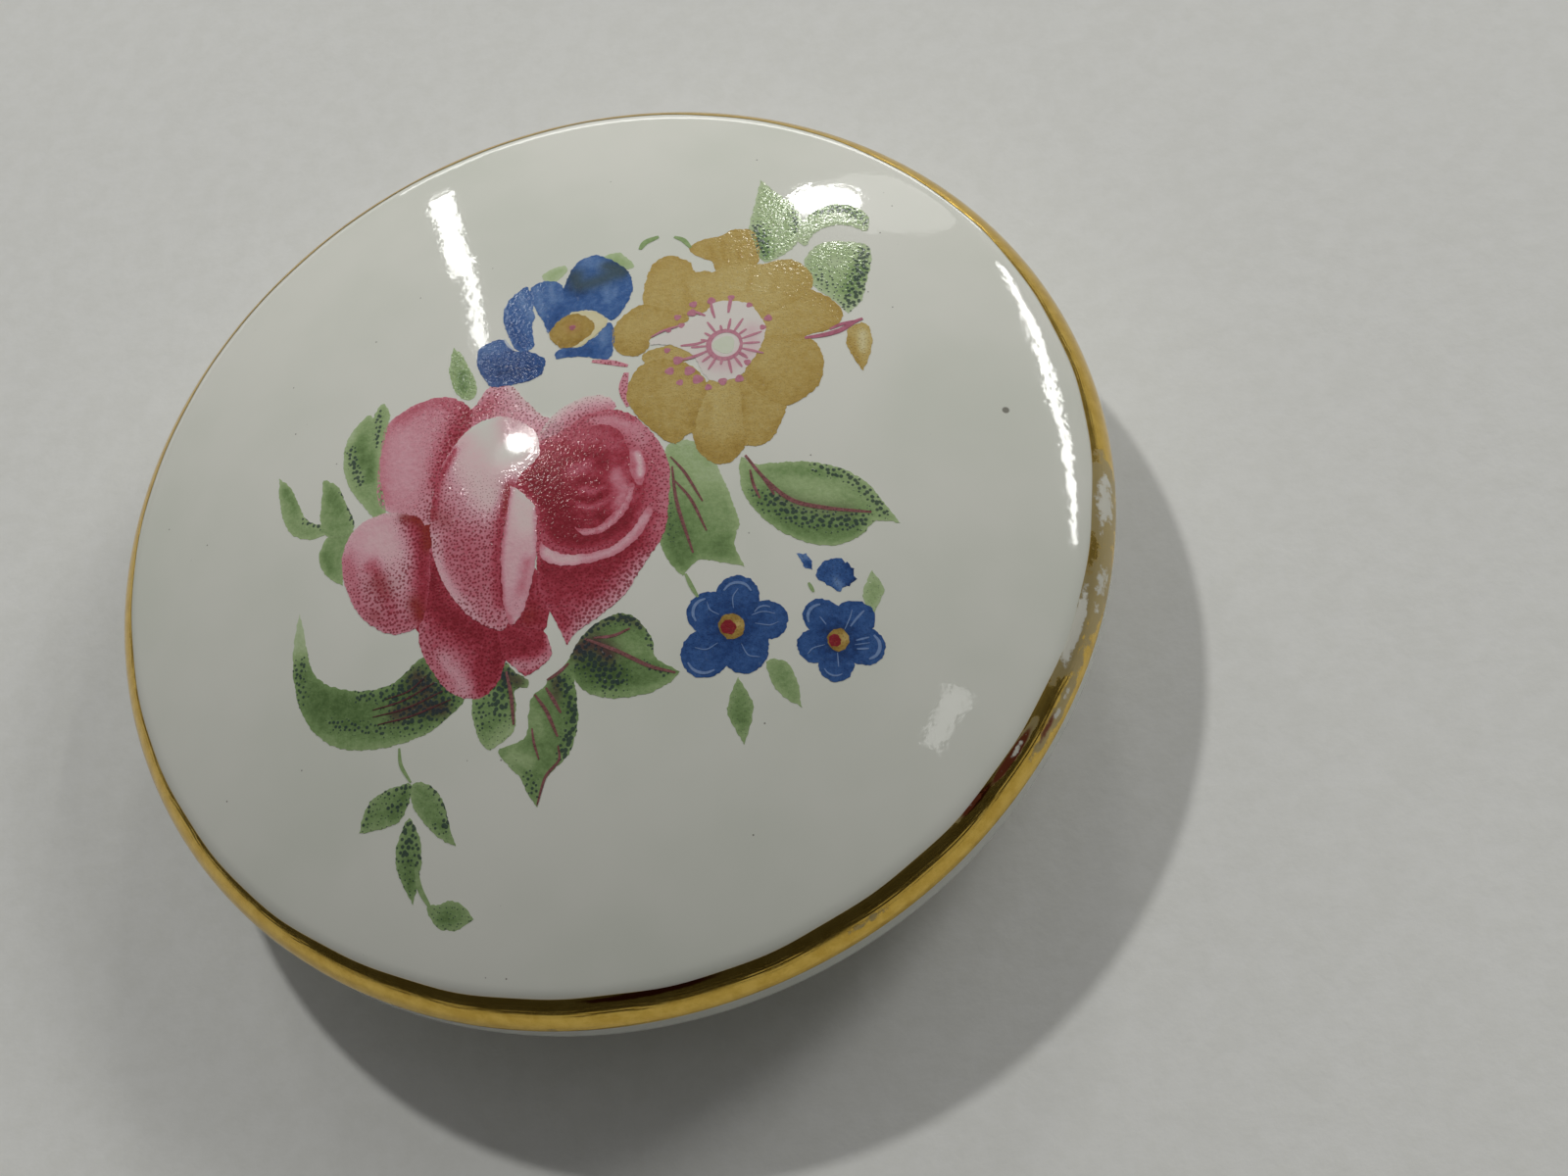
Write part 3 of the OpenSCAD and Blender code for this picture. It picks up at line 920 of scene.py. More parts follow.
# %% Heart of the rose
film(
    "rose_body", ROSE, 2,
    [(0.7, 2.25), (1.6, 2.35), (2.4, 1.95), (3.2, 0.95), (3.65, -0.2), (3.6, -1.7), (3.4, -2.9), (2.6, -4.1),
     (1.9, -5.1), (1.0, -5.75), (0.2, -6.2), (-0.15, -6.65, 1), (-0.6, -5.6), (-1.1, -4.6), (-1.2, -3),
     (-1.5, -1.2), (-2.2, -0.1), (-2.1, 0.8), (-1.3, 1.3), (-0.5, 1.6), (0, 1.9)],
    0.7,
    [(0.45, 0.45, [(1.2, 2.0), (2.2, 1.6), (2.8, 0.8)]), (0.72, 0.13, [(0.6, 2.2), (1.6, 2.28), (2.4, 1.85)]),
     (0.58, 0.4, [(3.2, 0.6), (3.4, -0.6), (3.3, -1.8), (3.0, -2.8)]),
     (0.75, 0.16, [(3.1, -2.1), (2.6, -2.9)]),
     (0.95, 0.5, [(-0.9, -3.8), (0.3, -4.1), (1.5, -3.8), (2.4, -3.2)]),
     (0.85, 0.5, [(-0.6, -4.6), (0.8, -4.7)]),
     (0.42, 0.5, [(2.7, -4), (1.9, -5), (1.0, -5.6), (0.3, -6.1)]), (0.8, 0.3, [(-0.9, -4.8), (-0.3, -5.8)]),
     (0.8, 0.35, [(-1.6, -0.2), (-1, 0.1)])],
    0.5, [(0.75, 0.6, [(2.6, -3.8), (1.4, -5), (0.3, -5.8)]), (0.2, 0.3, [(1.4, 1.9), (2.4, 1.4)])],
)
film(
    "rose_bowl", ROSE, 3,
    [(-1.9, -0.15), (-1.3, 0.7), (-0.5, 1.25), (0.5, 1.65), (1.3, 1.75), (1.9, 1.35), (2.15, 0.7), (2.6, 0.4),
     (2.8, -0.3), (2.75, -1.4), (2.5, -2.3), (1.8, -2.95), (0.8, -3.15), (-0.2, -3.0), (-0.9, -2.3),
     (-1.15, -1.2)],
    0.84,
    [(1.0, 0.7, [(-1.0, -0.4), (-0.6, -1.2), (-0.1, -2.1)]),
     (0.68, 0.3, [(0.3, 1.2), (1.2, 1.3), (1.7, 0.8)]),
     (0.96, 0.22, [(-0.2, 0.3), (0.5, 0.5), (1.2, 0.3), (1.5, -0.3)]), (0.6, 0.25, [(0.2, 0.0), (0.6, 0.1)]),
     (0.5, 0.33, [(1.75, -0.4), (2.0, -1.1), (1.9, -1.6)]),
     (0.62, 0.1, [(0.5, -0.8), (0.9, -1.0), (1.25, -0.8)]),
     (0.96, 0.12, [(0.4, -0.5), (0.9, -0.55), (1.3, -0.7)]),
     (0.62, 0.1, [(0.3, -1.4), (0.8, -1.6), (1.3, -1.4)]),
     (0.98, 0.14, [(0.4, -1.2), (0.8, -1.3), (1.2, -1.15)]),
     (1.0, 0.2, [(1.1, -1.9), (1.7, -2.2), (2.2, -1.8)]),
     (1.0, 0.3, [(-0.5, -2.3), (0.3, -2.8), (1.3, -2.7), (2.0, -2.3)])],
    0.35, [(0.1, 0.3, [(1.8, -0.4), (1.9, -1.5)])],
)
film(
    "rose_inner_crescent", ROSE, 4,
    [(0.2, -2.3), (0.6, -2.4), (1.1, -2.35), (1.5, -2.0), (2.0, -1.5), (2.25, -0.8), (2.4, -0.9), (2.2, -1.7),
     (1.7, -2.3), (1.2, -2.6), (0.6, -2.65)],
    0.7, [(0.42, 0.09, [(0.5, -2.52), (1.2, -2.45), (1.7, -2.1), (2.1, -1.55), (2.3, -1.0)])], 0.25,
)
film(
    "rose_pale_oval", ROSE, 4,
    [(2.25, 0.55), (2.5, 0.62), (2.75, 0.2), (2.8, -0.4), (2.65, -0.95), (2.45, -0.8), (2.25, -0.3)],
    0.66, [(0.2, 0.13, [(2.5, 0.35), (2.6, 0), (2.6, -0.5)])], 0.1,
)
film(
    "rose_pale_crescent", ROSE, 4,
    [(-1.05, -2.7), (-0.7, -3.0), (-0.1, -3.3), (0.8, -3.35), (1.6, -3.15), (2.3, -2.6), (2.85, -1.8),
     (3.0, -2.1),
     (2.5, -2.95), (1.7, -3.5), (0.7, -3.72), (-0.3, -3.68), (-0.95, -3.35)],
    0.62, [(0.34, 0.13, [(2.8, -2.15), (2.3, -2.8), (1.6, -3.32), (0.7, -3.53), (0, -3.5)]),
           (0.24, 0.24, [(-0.8, -3.1), (-0.4, -3.42), (0.2, -3.5)])], 0.18,
)
film(
    "rose_front_petal", ROSE, 5,
    [(-4.9, 0.9), (-5.2, -0.6), (-5.15, -2), (-4.8, -3.4), (-4.1, -4.6), (-3.3, -5.4), (-2.5, -5.8),
     (-2.25, -5.5), (-2.5, -4.6), (-2.5, -2.8), (-2.2, -1), (-1.8, 0.1), (-1.1, 0.9), (-1.4, 2.0),
     (-2.6, 2.75), (-3.7, 2.5), (-4.4, 1.8)],
    0.5,
    [(0.02, 1.1, [(-3.3, 2.4), (-2.9, 1.2), (-2, 1.2)]), (0.16, 0.9, [(-3.7, 1.0), (-3.3, 0.1), (-3, -0.6)]),
     (0.82, 0.17, [(-4.4, 1.6), (-4.95, 0.4), (-5.15, -1)]), (0.6, 0.8, [(-4, -2.4), (-3.4, -3.6)]),
     (0.82, 0.26, [(-2.1, -0.3), (-2.45, -1.6), (-2.6, -3.2), (-2.5, -4.8)]),
     (0.34, 0.22, [(-5.0, -1.8), (-4.8, -3), (-4.2, -4.2), (-3.4, -5.1)]),
     (0.5, 0.3, [(-3.2, -4.9), (-2.5, -5.5)])],
    0.58, [(0.0, 1.3, [(-3.2, 2.4), (-3.1, 1.0), (-2, 1.3)]), (0.3, 0.6, [(-3.6, 0.2), (-3, -0.7)]),
           (0.2, 0.25, [(-4.9, -2.9), (-4.2, -4.2)])],
    [(0.5, 0.2, [(-2.3, -0.3), (-2.3, -1.2)]), (0.4, 0.3, [(-5.1, -0.9), (-4.6, -1.3)])],
)
film(
    "rose_turned_edge", ROSE, 6,
    [(-2.15, -0.25, 1), (-1.6, -0.75), (-1.2, -1.35), (-1.2, -3.2), (-1.45, -4.5), (-1.75, -5.3),
     (-2.15, -5.65), (-2.4, -4.9), (-2.5, -2.9), (-2.3, -1.5)],
    0.27,
    [(0.13, 0.5, [(-1.8, -0.8), (-1.6, -1.9)]), (0.36, 0.4, [(-1.9, -4.6), (-2, -5.3)]),
     (0.66, 0.12, [(-2.2, -0.4), (-2.35, -1.6), (-2.5, -3.2), (-2.4, -4.9), (-2.15, -5.6)]),
     (0.5, 0.09, [(-1.2, -1.4), (-1.2, -3.2), (-1.45, -4.5), (-1.75, -5.3)]),
     (0.5, 0.25, [(-1.5, -3.4), (-1.7, -4.4)])],
    0.15, [(0.3, 0.3, [(-1.9, -4.9)])],
)
print("rose printed")

# %% [markdown]
# ## The ochre flower
# An open, single flower with ten crinkled petals. Its centre is left white and carries a ring of fine
# pink stamens with round anthers, drawn with the pen rather than the brush.

# %% Ochre petals
OCHRE_PETALS = [
    ("left", 2,
     [(1.55, 5.4), (1.6, 6.1), (2.1, 6.7), (2.7, 7.0), (3.4, 6.7), (4.2, 6.35), (4.4, 6.05), (3.6, 5.65),
      (2.95, 5.3), (2.9, 4.9), (2.5, 4.62), (2, 4.7), (1.7, 5)],
     0.61, [(0.70, 0.3, [(1.7, 5.2), (2.4, 4.7), (2.8, 4.9)]), (0.55, 0.4, [(2.2, 6), (3, 6.1)])]),
    ("upper_left", 1,
     [(2.65, 7.2), (2.72, 8.1), (3.0, 9.0), (3.65, 9.35), (4.15, 9.05), (4.45, 8.85), (4.55, 8.4), (5.2, 8.3),
      (5.7, 7.6), (5.4, 6.6), (4.4, 6.2), (3.3, 6.2), (2.8, 6.5)],
     0.57, [(0.63, 0.35, [(3, 8.7), (3.6, 9.2), (4.2, 8.9)]), (0.51, 0.5, [(4.6, 7.6), (5.2, 7.2)]),
            (0.63, 0.15, [(4.1, 8.2), (4.3, 7.3), (4.4, 6.8)])]),
    ("top", 1,
     [(4.35, 9.5), (4.6, 9.9), (5.3, 10.1), (5.6, 10.15), (6.0, 10.4), (6.7, 10.3), (6.95, 9.6), (6.95, 8.6),
      (6.4, 7.9), (5.5, 8.1), (5.25, 8.8), (4.9, 9.0)],
     0.61, [(0.68, 0.1, [(5.6, 9.8), (5.7, 8.8)]), (0.68, 0.1, [(6.2, 10), (6.25, 8.9)]),
            (0.68, 0.1, [(5.1, 9.7), (5.4, 8.9)]), (0.53, 0.3, [(6.3, 8.2), (5.9, 8.3)])]),
    ("upper_right", 3,
     [(4.9, 7.9), (5.5, 8.4), (6.3, 8.5), (7.1, 8.5), (8.1, 8.65), (8.75, 8.1), (8.95, 7.3), (8.4, 6.6),
      (7.4, 6.2), (6.8, 6.1), (6.3, 6.5), (5.3, 6.6), (4.9, 7.2)],
     0.51, [(0.62, 0.45, [(8.2, 8.2), (8.6, 7.4), (8.3, 6.8)]), (0.48, 0.5, [(6.3, 7.6), (6.9, 7.2)]),
            (0.58, 0.12, [(6.7, 8.1), (6.6, 7.2)]), (0.59, 0.12, [(7.7, 8.2), (7.5, 7.2)])]),
    ("right", 2,
     [(8.6, 7.2), (9.4, 6.75), (9.95, 6.1), (9.9, 5.5), (9.4, 5.12), (8.6, 4.9), (7.6, 4.6), (7.0, 5),
      (6.9, 6), (7.4, 6.8), (8.0, 7.4)],
     0.58, [(0.66, 0.3, [(9.3, 6.7), (9.9, 6), (9.4, 5.2)]), (0.51, 0.4, [(7.6, 6), (7.3, 5.4)]),
           (0.68, 0.13, [(9.6, 5.1), (8.7, 4.9), (8, 4.9)])]),
    ("lower_right", 3,
     [(8.0, 4.95), (8.8, 4.8), (9.2, 4.1), (9.2, 3.2), (8.9, 2.5), (8.1, 1.9), (7.5, 2.0), (6.6, 2.8),
      (6.4, 3.7), (6.8, 4.6), (7.4, 5)],
     0.61, [(0.68, 0.4, [(9, 3.2), (8.6, 2.5), (7.9, 2.1)]), (0.68, 0.25, [(7.2, 2.7), (6.8, 3.2)]),
            (0.54, 0.4, [(7.4, 4.4), (7.2, 3.9)])]),
    ("bottom_right", 2,
     [(7.9, 2.2), (7.7, 1.3), (7.3, 0.5), (6.9, 0.28), (6.3, 0.35), (5.9, 1.2), (5.9, 2.6), (6.4, 3.4),
      (7.3, 2.9)],
     0.60, [(0.68, 0.22, [(6.4, 0.6), (6.25, 1.6), (6.4, 2.4)]), (0.67, 0.3, [(7.6, 1.2), (7.1, 0.5)])]),
    ("bottom", 3,
     [(6.35, 0.3), (6.05, -0.15), (5.7, -0.38), (5.2, -0.3), (4.7, 0.2), (4.5, 1), (4.6, 2), (4.9, 3.0),
      (5.6, 3.4), (6.2, 3.1), (6.3, 1.6)],
     0.53, [(0.74, 0.5, [(4.8, 0.4), (5.6, -0.1), (6.1, 0.3)]), (0.49, 0.35, [(5.3, 1.6), (5.4, 2.6)]),
           (0.61, 0.15, [(5.0, 1.2), (5.1, 2.2)])]),
    ("lower_left", 4,
     [(4.6, 1.1), (4.3, 0.95), (3.9, 0.62), (3.4, 0.9), (2.7, 1.7), (2.2, 2.5), (2.15, 3.2), (2.5, 4.0),
      (3.2, 4.35), (3.9, 4.2), (4.5, 3.9), (5.0, 3.2), (5.0, 2.6), (4.7, 1.8)],
     0.62, [(0.68, 0.35, [(2.6, 2.2), (3.2, 1.3), (4, 0.9)]), (0.56, 0.5, [(3.8, 3), (4.4, 2.9)]),
            (0.70, 0.2, [(4.5, 1.3), (4.6, 2)])]),
    ("middle_left", 2,
     [(2.7, 4.6), (3.3, 4.88), (4.3, 4.9), (4.6, 4.3), (3.7, 4.0), (2.9, 4.1)],
     0.53, [(0.59, 0.2, [(2.8, 4.6), (3.4, 4.7)])]),
]
for side, layer, outline, tone, strokes in OCHRE_PETALS:
    film(f"ochre_petal_{side}", OCHRE, layer, outline, tone, strokes, 0.3)
print(f"{len(OCHRE_PETALS)} ochre petals")

# %% [markdown]
# ## Stamens and bud
# The stamens stand in a ring, so a loop draws them, each a little longer or shorter than the last. The
# anthers are touches at uneven places, which no rule gives, so they are a short list.

# %% Centre, stamens and bud of the ochre flower
film(
    "ochre_flower_centre", STEM, 5,
    [(2.95, 5.1), (3.6, 5.5), (4.5, 6.0), (5.0, 6.3), (5.3, 6.75), (6.0, 6.75), (6.6, 6.55), (7.0, 5.9),
     (7.2, 5.3), (7.0, 4.5), (6.6, 3.8), (6.2, 3.25), (5.4, 3.1), (4.9, 3.5), (4.6, 4.3), (3.8, 4.9)],
    0.03, [(0.12, 0.35, [(5.0, 4.2), (5.7, 3.8), (6.6, 4.4), (6.7, 5.3)])],
)
STAMEN_RING = (5.72, 4.72)
STAMENS = 18
STAMEN_START = 0.62
STAMEN_END = 1.15
STAMEN_WIDTH = 0.11


def stamen_lines():
    """A ring of pen strokes, each a little longer or shorter than the last."""
    lines = []
    for number in range(STAMENS):
        turn = 2 * math.pi * number / STAMENS
        ray = np.array([math.cos(turn), math.sin(turn)])
        end = STAMEN_END + 0.22 * math.sin(2.3 * number) + 0.12 * math.cos(turn)
        start = np.array(STAMEN_RING) + ray * STAMEN_START
        lines.append((STAMEN_WIDTH, [tuple(start), tuple(np.array(STAMEN_RING) + ray * end)]))
    middle_x, middle_y = STAMEN_RING
    around = np.linspace(0, 6.28, 13)
    ring = [(middle_x + 0.6 * math.cos(turn), middle_y + 0.64 * math.sin(turn)) for turn in around]
    return lines + [(0.2, ring)]


flat_lines("ochre_stamens", STEM, 7, stamen_lines(), tone=0.38)
flat_lines(
    "ochre_long_stamens", STEM, 7,
    [(0.13, [(4.1, 4.85), (4.6, 4.85), (5.0, 4.95)]), (0.13, [(4.1, 4.2), (4.6, 4.3), (5.1, 4.5)]),
     (0.12, [(5.2, 6.8), (5.25, 6.4), (5.35, 6.0)]), (0.14, [(5.95, 6.95), (5.9, 6.6), (5.85, 6.2)]),
     (0.12, [(4.6, 6.4), (5.0, 6.15)]), (0.13, [(6.5, 4.1), (6.2, 4.35)]),
     (0.1, [(3.0, 5.4), (3.5, 5.65), (4.1, 5.8)])],
    tone=0.4,
)
flat_spots("ochre_flower_eye", LEAF, 7, [(5.7, 4.72, 0.4)], tone=0.07)
ANTHERS = [
    (4.55, 6.75, 0.15), (4.5, 6.35, 0.17), (3.97, 6.2, 0.13), (4.12, 5.8, 0.12), (3.65, 5.62, 0.1),
    (3.6, 4.7, 0.12), (4.0, 4.2, 0.19), (3.7, 3.75, 0.17), (4.42, 3.68, 0.2), (4.07, 3.2, 0.13),
    (4.72, 3.27, 0.2), (5.1, 2.88, 0.13), (5.62, 3.08, 0.16), (6.22, 3.15, 0.16), (6.52, 3.85, 0.13),
    (7.3, 5.82, 0.15), (6.62, 6.5, 0.12), (5.95, 6.92, 0.13), (5.22, 6.85, 0.16), (7.1, 5.4, 0.12),
]
flat_spots("ochre_anthers", STEM, 6, ANTHERS, tone=0.42)
film(
    "ochre_bud", OCHRE, 2,
    [(10.15, 5.1), (10.1, 4.4), (10.35, 3.7), (10.6, 3.2, 1), (10.85, 3.8), (11.0, 4.5), (10.95, 5.1),
     (10.75, 5.4), (10.4, 5.3)],
    0.5, [(0.25, 0.2, [(10.7, 4.9), (10.6, 4.2)]), (0.68, 0.2, [(10.2, 4.6), (10.5, 3.5)])], 0.4,
)
flat_lines(
    "ochre_bud_stem", STEM, 4,
    [(0.2, [(8.6, 4.8), (9.3, 4.9), (9.9, 5.1), (10.4, 5.45), (10.7, 5.6)]),
     (0.14, [(9.5, 5.15), (9.9, 5.35), (10.4, 5.5)])],
    tone=0.5,
)
print("ochre flower finished")

# %% [markdown]
# ## The blue flowers
# Cobalt is the strongest of all enamel colours and fires almost solid, so the washes are dark and the
# dots hardly show. The pansy at the top is cut by a white gap, where the printed shape was left open.
# Each of its petals has an outline of its own.

# %% Blue pansy
PANSY_PETALS = [
    ("left", 1,
     [(-1.5, 8.8), (-1.8, 8.45, 1), (-1.95, 8.75), (-2.35, 8.45), (-2.65, 8.1), (-2.78, 7.5), (-2.65, 6.9),
      (-2.45, 6.3), (-2.25, 5.8), (-1.9, 5.55), (-1.5, 5.65), (-1.48, 6.1), (-1.6, 6.7), (-1.5, 7.1),
      (-1.6, 7.6),
      (-1.3, 8.2)],
     0.62, [(0.45, 0.12, [(-2.1, 8.4), (-2, 7.7)]), (0.74, 0.3, [(-2.5, 7), (-2, 6)]),
            (0.4, 0.14, [(-1.7, 7.6), (-1.6, 7.2)])], []),
    ("middle", 2,
     [(-1.75, 8.6), (-1.5, 8.85), (-1.0, 8.85), (-0.6, 8.65), (-0.3, 8.2), (0.3, 7.8), (0.4, 7.1),
      (-0.2, 6.9),
      (-0.7, 6.5), (-0.95, 6.25), (-1.15, 6.9), (-1.35, 7.2), (-1.6, 7.9)],
     0.6, [(0.46, 0.1, [(-1.5, 8.6), (-1.35, 7.9), (-1.2, 7.4)]), (0.46, 0.12, [(-0.95, 8.6), (-0.85, 7.8)]),
           (0.74, 0.3, [(-0.5, 7.3), (-0.8, 6.6)])], []),
    ("upper_right", 3,
     [(-0.45, 8.2), (-0.3, 8.9), (-0.1, 9.4), (0.2, 9.75), (0.75, 9.85), (1.2, 9.6), (1.8, 9.1), (2.15, 8.5),
      (2.25, 7.9), (2.1, 7.3), (1.8, 6.7), (1.45, 6.45), (1.1, 6.8), (0.6, 7.1), (0, 7.1), (-0.35, 7.5)],
     0.64, [(0.5, 0.14, [(1.2, 8.1), (1.3, 7.4)]), (0.5, 0.12, [(1.6, 8), (1.5, 7.5)]),
            (0.82, 0.3, [(-0.3, 9), (-0.1, 8.4), (0.3, 8.0)]), (0.5, 0.3, [(0.4, 9.6), (0.8, 9.4)]),
            (0.8, 0.2, [(1.5, 9.3), (2, 8.8)])],
     [(0.75, 0.4, [(0, 8.9), (0.2, 8.4), (0.9, 8.5), (1.6, 8.8)]), (0.8, 0.3, [(1.2, 9.2), (1.8, 8.8)])]),
    ("lower_left", 3,
     [(-3.7, 5.7), (-3.6, 6.1), (-3.1, 6.3), (-2.7, 6.3), (-2.5, 6.1), (-2.3, 5.75), (-2.2, 5.62),
      (-1.6, 5.5),
      (-1.2, 5.2), (-1, 5), (-1.05, 4.5), (-1.25, 4.25), (-2, 4.1), (-3, 4.15), (-3.35, 4.6), (-3.6, 5.1)],
     0.74, [(0.58, 0.35, [(-3.4, 6.0), (-2.9, 5.9)]), (0.84, 0.4, [(-2.8, 4.9), (-1.6, 4.6)])], []),
    ("lower_right", 2,
     [(-0.55, 5.35), (-0.55, 4.98), (0, 4.95), (0.6, 4.85), (1.0, 4.7), (1.45, 4.65), (1.6, 5.2), (1.6, 6.0),
      (1.4, 6.35), (1.05, 6.05), (0.95, 5.75), (0.6, 5.6), (0.4, 5.35), (0, 5.4)],
     0.62, [(0.74, 0.25, [(0, 5.15), (0.8, 5.1)]), (0.48, 0.2, [(1.2, 6), (1.2, 5.5)])], []),
]
for side, layer, outline, tone, strokes, accent in PANSY_PETALS:
    film(f"pansy_petal_{side}", BLUE, layer, outline, tone, strokes, 0.25, (), accent)
flat_lines("pansy_petal_seam", BLUE, 5, [(0.09, [(-2.65, 6.3), (-2.5, 6.0), (-2.25, 5.7)])], tone=0.12)
film(
    "pansy_eye_rim", OCHRE, 4,
    [(-0.1, 7.05), (0.7, 7.0), (1.1, 6.75), (1.35, 6.4), (1.1, 6.0), (0.8, 5.7), (0.3, 5.35), (0, 5.5),
     (0.4, 6.2)],
    0.16,
)
film(
    "pansy_eye", OCHRE, 5,
    [(-0.9, 6.2), (-0.6, 6.7), (-0.1, 7.0), (0.4, 6.85), (0.8, 6.4), (0.8, 6.0), (0.4, 5.65), (0, 5.4),
     (-0.4, 5.45), (-0.75, 5.8)],
    0.72, [(0.84, 0.2, [(-0.4, 5.6), (0.3, 5.7)])], 0.2, (), [(0.4, 0.25, [(0, 6.35)])],
)
flat_spots("pansy_eye_spot", STEM, 7, [(0, 6.33, 0.12)], tone=0.55)
print("pansy printed")

# %% [markdown]
# ## Forget-me-nots
# The two small flowers are five overlapping round petals each, with a middle, an ochre eye and a red
# pip, so a formula gives the petals and a loop makes both flowers. Fine light lines lie on the petals.

# %% Forget-me-nots
FLOWER_SIDES = 12


def round_petal(x, y, radius):
    """Outline of a small round petal, a little uneven."""
    outline = []
    for side in range(FLOWER_SIDES):
        turn = 2 * math.pi * side / FLOWER_SIDES
        swell = radius * (1 + 0.05 * math.sin(2 * turn + 4 * x))
        outline.append((x + swell * math.cos(turn), y + swell * math.sin(turn)))
    return outline


def bow(x, y, radius, start, end):
    """A short arc for a light pen line, with its angles in degrees."""
    turns = np.radians(np.linspace(start, end, 5))
    return [(x + radius * math.cos(turn), y + radius * math.sin(turn)) for turn in turns]


FORGET_ME_NOTS = [
    ("large", (5.6, -6.55), 0.95,
     [(5.85, -5.55, 0.8), (4.85, -5.98, 0.76), (4.68, -7.4, 0.88), (6.0, -7.35, 0.86), (6.75, -6.4, 0.74)],
     [(0.11, bow(4.8, -5.98, 0.5, 95, 215)), (0.1, bow(4.62, -7.5, 0.62, 200, 300)),
      (0.1, bow(5.85, -5.5, 0.52, 20, 150)), (0.06, bow(6.75, -6.3, 0.4, 60, 150)),
      (0.04, [(6.3, -6.2), (6.7, -6.1), (7.1, -6.2)]), (0.04, [(6.4, -6.5), (6.9, -6.6), (7.2, -6.5)]),
      (0.04, [(5.1, -7.1), (4.7, -7.3), (4.3, -7.2)]), (0.04, [(5.2, -6.1), (4.9, -5.9), (4.8, -5.6)]),
      (0.04, [(5.9, -7.2), (6.1, -7.6), (6.5, -7.7)]), (0.04, [(5.7, -5.9), (5.7, -5.5), (5.9, -5.2)])]),
    ("small", (9.15, -7.25), 0.8,
     [(8.7, -6.45, 0.68), (9.72, -6.55, 0.7), (9.98, -7.5, 0.7), (9.02, -8.05, 0.64), (8.4, -7.45, 0.62)],
     [(0.11, bow(8.65, -6.42, 0.46, 90, 200)), (0.12, bow(10.05, -7.5, 0.48, -80, 50)),
      (0.08, [(9.6, -6.8), (9.85, -6.5), (10.1, -6.25)]), (0.07, [(9.75, -7.3), (10.2, -7.2)]),
      (0.07, [(9.75, -7.6), (10.15, -7.6)]), (0.06, bow(9, -8.1, 0.4, 200, 300)),
      (0.04, [(9.7, -7.45), (10.2, -7.4)]), (0.04, [(8.7, -7.4), (8.3, -7.5), (8.1, -7.7)]),
      (0.04, [(9.4, -6.9), (9.6, -6.5), (9.7, -6.2)]), (0.04, [(8.8, -6.7), (8.6, -6.4)]),
      (0.04, [(9.1, -7.7), (9.1, -8.2)])]),
]
for size, (x, y), core, petals, lights in FORGET_ME_NOTS:
    flower = f"forget_me_not_{size}"
    for number, petal in enumerate(petals):
        px, py, radius = petal
        outer = [(px + (px - x) * 0.3, py + (py - y) * 0.3)]
        shade = [(0.7, 0.35, outer), (0.9, 0.25, [((x + px) / 2, (y + py) / 2)])]
        outline = round_petal(px, py, radius)
        film(f"{flower}_petal_{number + 1}", BLUE, 1 + number % 2, outline, 0.76, shade, 0.3)
    film(f"{flower}_middle", BLUE, 3, round_petal(x, y, core), 0.78, [(1.0, 0.5, [(x, y)])], 0.3)
    flat_lines(f"{flower}_lights", BLUE, 4, lights, tone=0.42)
    dark_side = (0.95, 0.16, [(x - 0.3, y - 0.3), (x - 0.38, y + 0.1)])
    pale_side = (0.45, 0.15, [(x + 0.25, y + 0.05)])
    film(f"{flower}_eye", OCHRE, 5, round_petal(x, y, 0.48 * core), 0.8, [dark_side, pale_side], 0.5)
    rust = [(0.65, 0.4, [(x, y)])]
    pip = round_petal(x - 0.1, y - 0.03, 0.27 * core)
    film(f"{flower}_pip", ROSE, 6, pip, 0.98, (), 1.0, (), rust)
film(
    "blue_loose_petal", BLUE, 1,
    [(8.55, -4.9), (8.75, -4.5), (9.1, -4.3), (9.45, -4.33), (9.6, -4.48, 1), (9.68, -4.46, 1),
     (9.78, -4.66, 1),
     (9.88, -4.7, 1), (9.86, -4.95, 1), (9.96, -5.1, 1), (9.8, -5.18, 1), (9.68, -5.36, 1), (9.5, -5.34, 1),
     (9.32, -5.56, 1), (9.0, -5.3), (8.7, -5.1)],
    0.72, [(0.92, 0.12, [(9.7, -4.6), (9.95, -5.0), (9.6, -5.4)]), (0.5, 0.15, [(9.2, -5.1), (9.4, -5.4)])],
    0.4,
)
film(
    "blue_crumb", BLUE, 1,
    [(7.98, -4.05, 1), (8.15, -4.08), (8.3, -4.04, 1), (8.38, -4.22), (8.5, -4.36, 1), (8.43, -4.5),
     (8.44, -4.68, 1), (8.22, -4.58), (8.13, -4.35)],
    0.5, [(0.85, 0.1, [(8.2, -4.4), (8.45, -4.6)])], 0.4,
)
print("forget-me-nots printed")

# %% [markdown]
# ## The leaves
# A leaf is a pale green wash with dark blue-green dots in its shadows. The dots are coarser here than on
# the flowers, and where the shadow is deepest some purple is laid under them. Each leaf is one film; the
# veins and stalks are tapered pen lines on top.

# %% Leaves right of the rose
def print_leaves(leaves):
    """Prints leaves from rows of place, layer, outline, tone, strokes, dots, dot strokes and accent."""
    for place, layer, outline, tone, strokes, dots, dot_strokes, accent in leaves:
        film(f"leaf_{place}", LEAF, layer, outline, tone, strokes, dots, dot_strokes, accent)
    print(f"{len(leaves)} leaves")


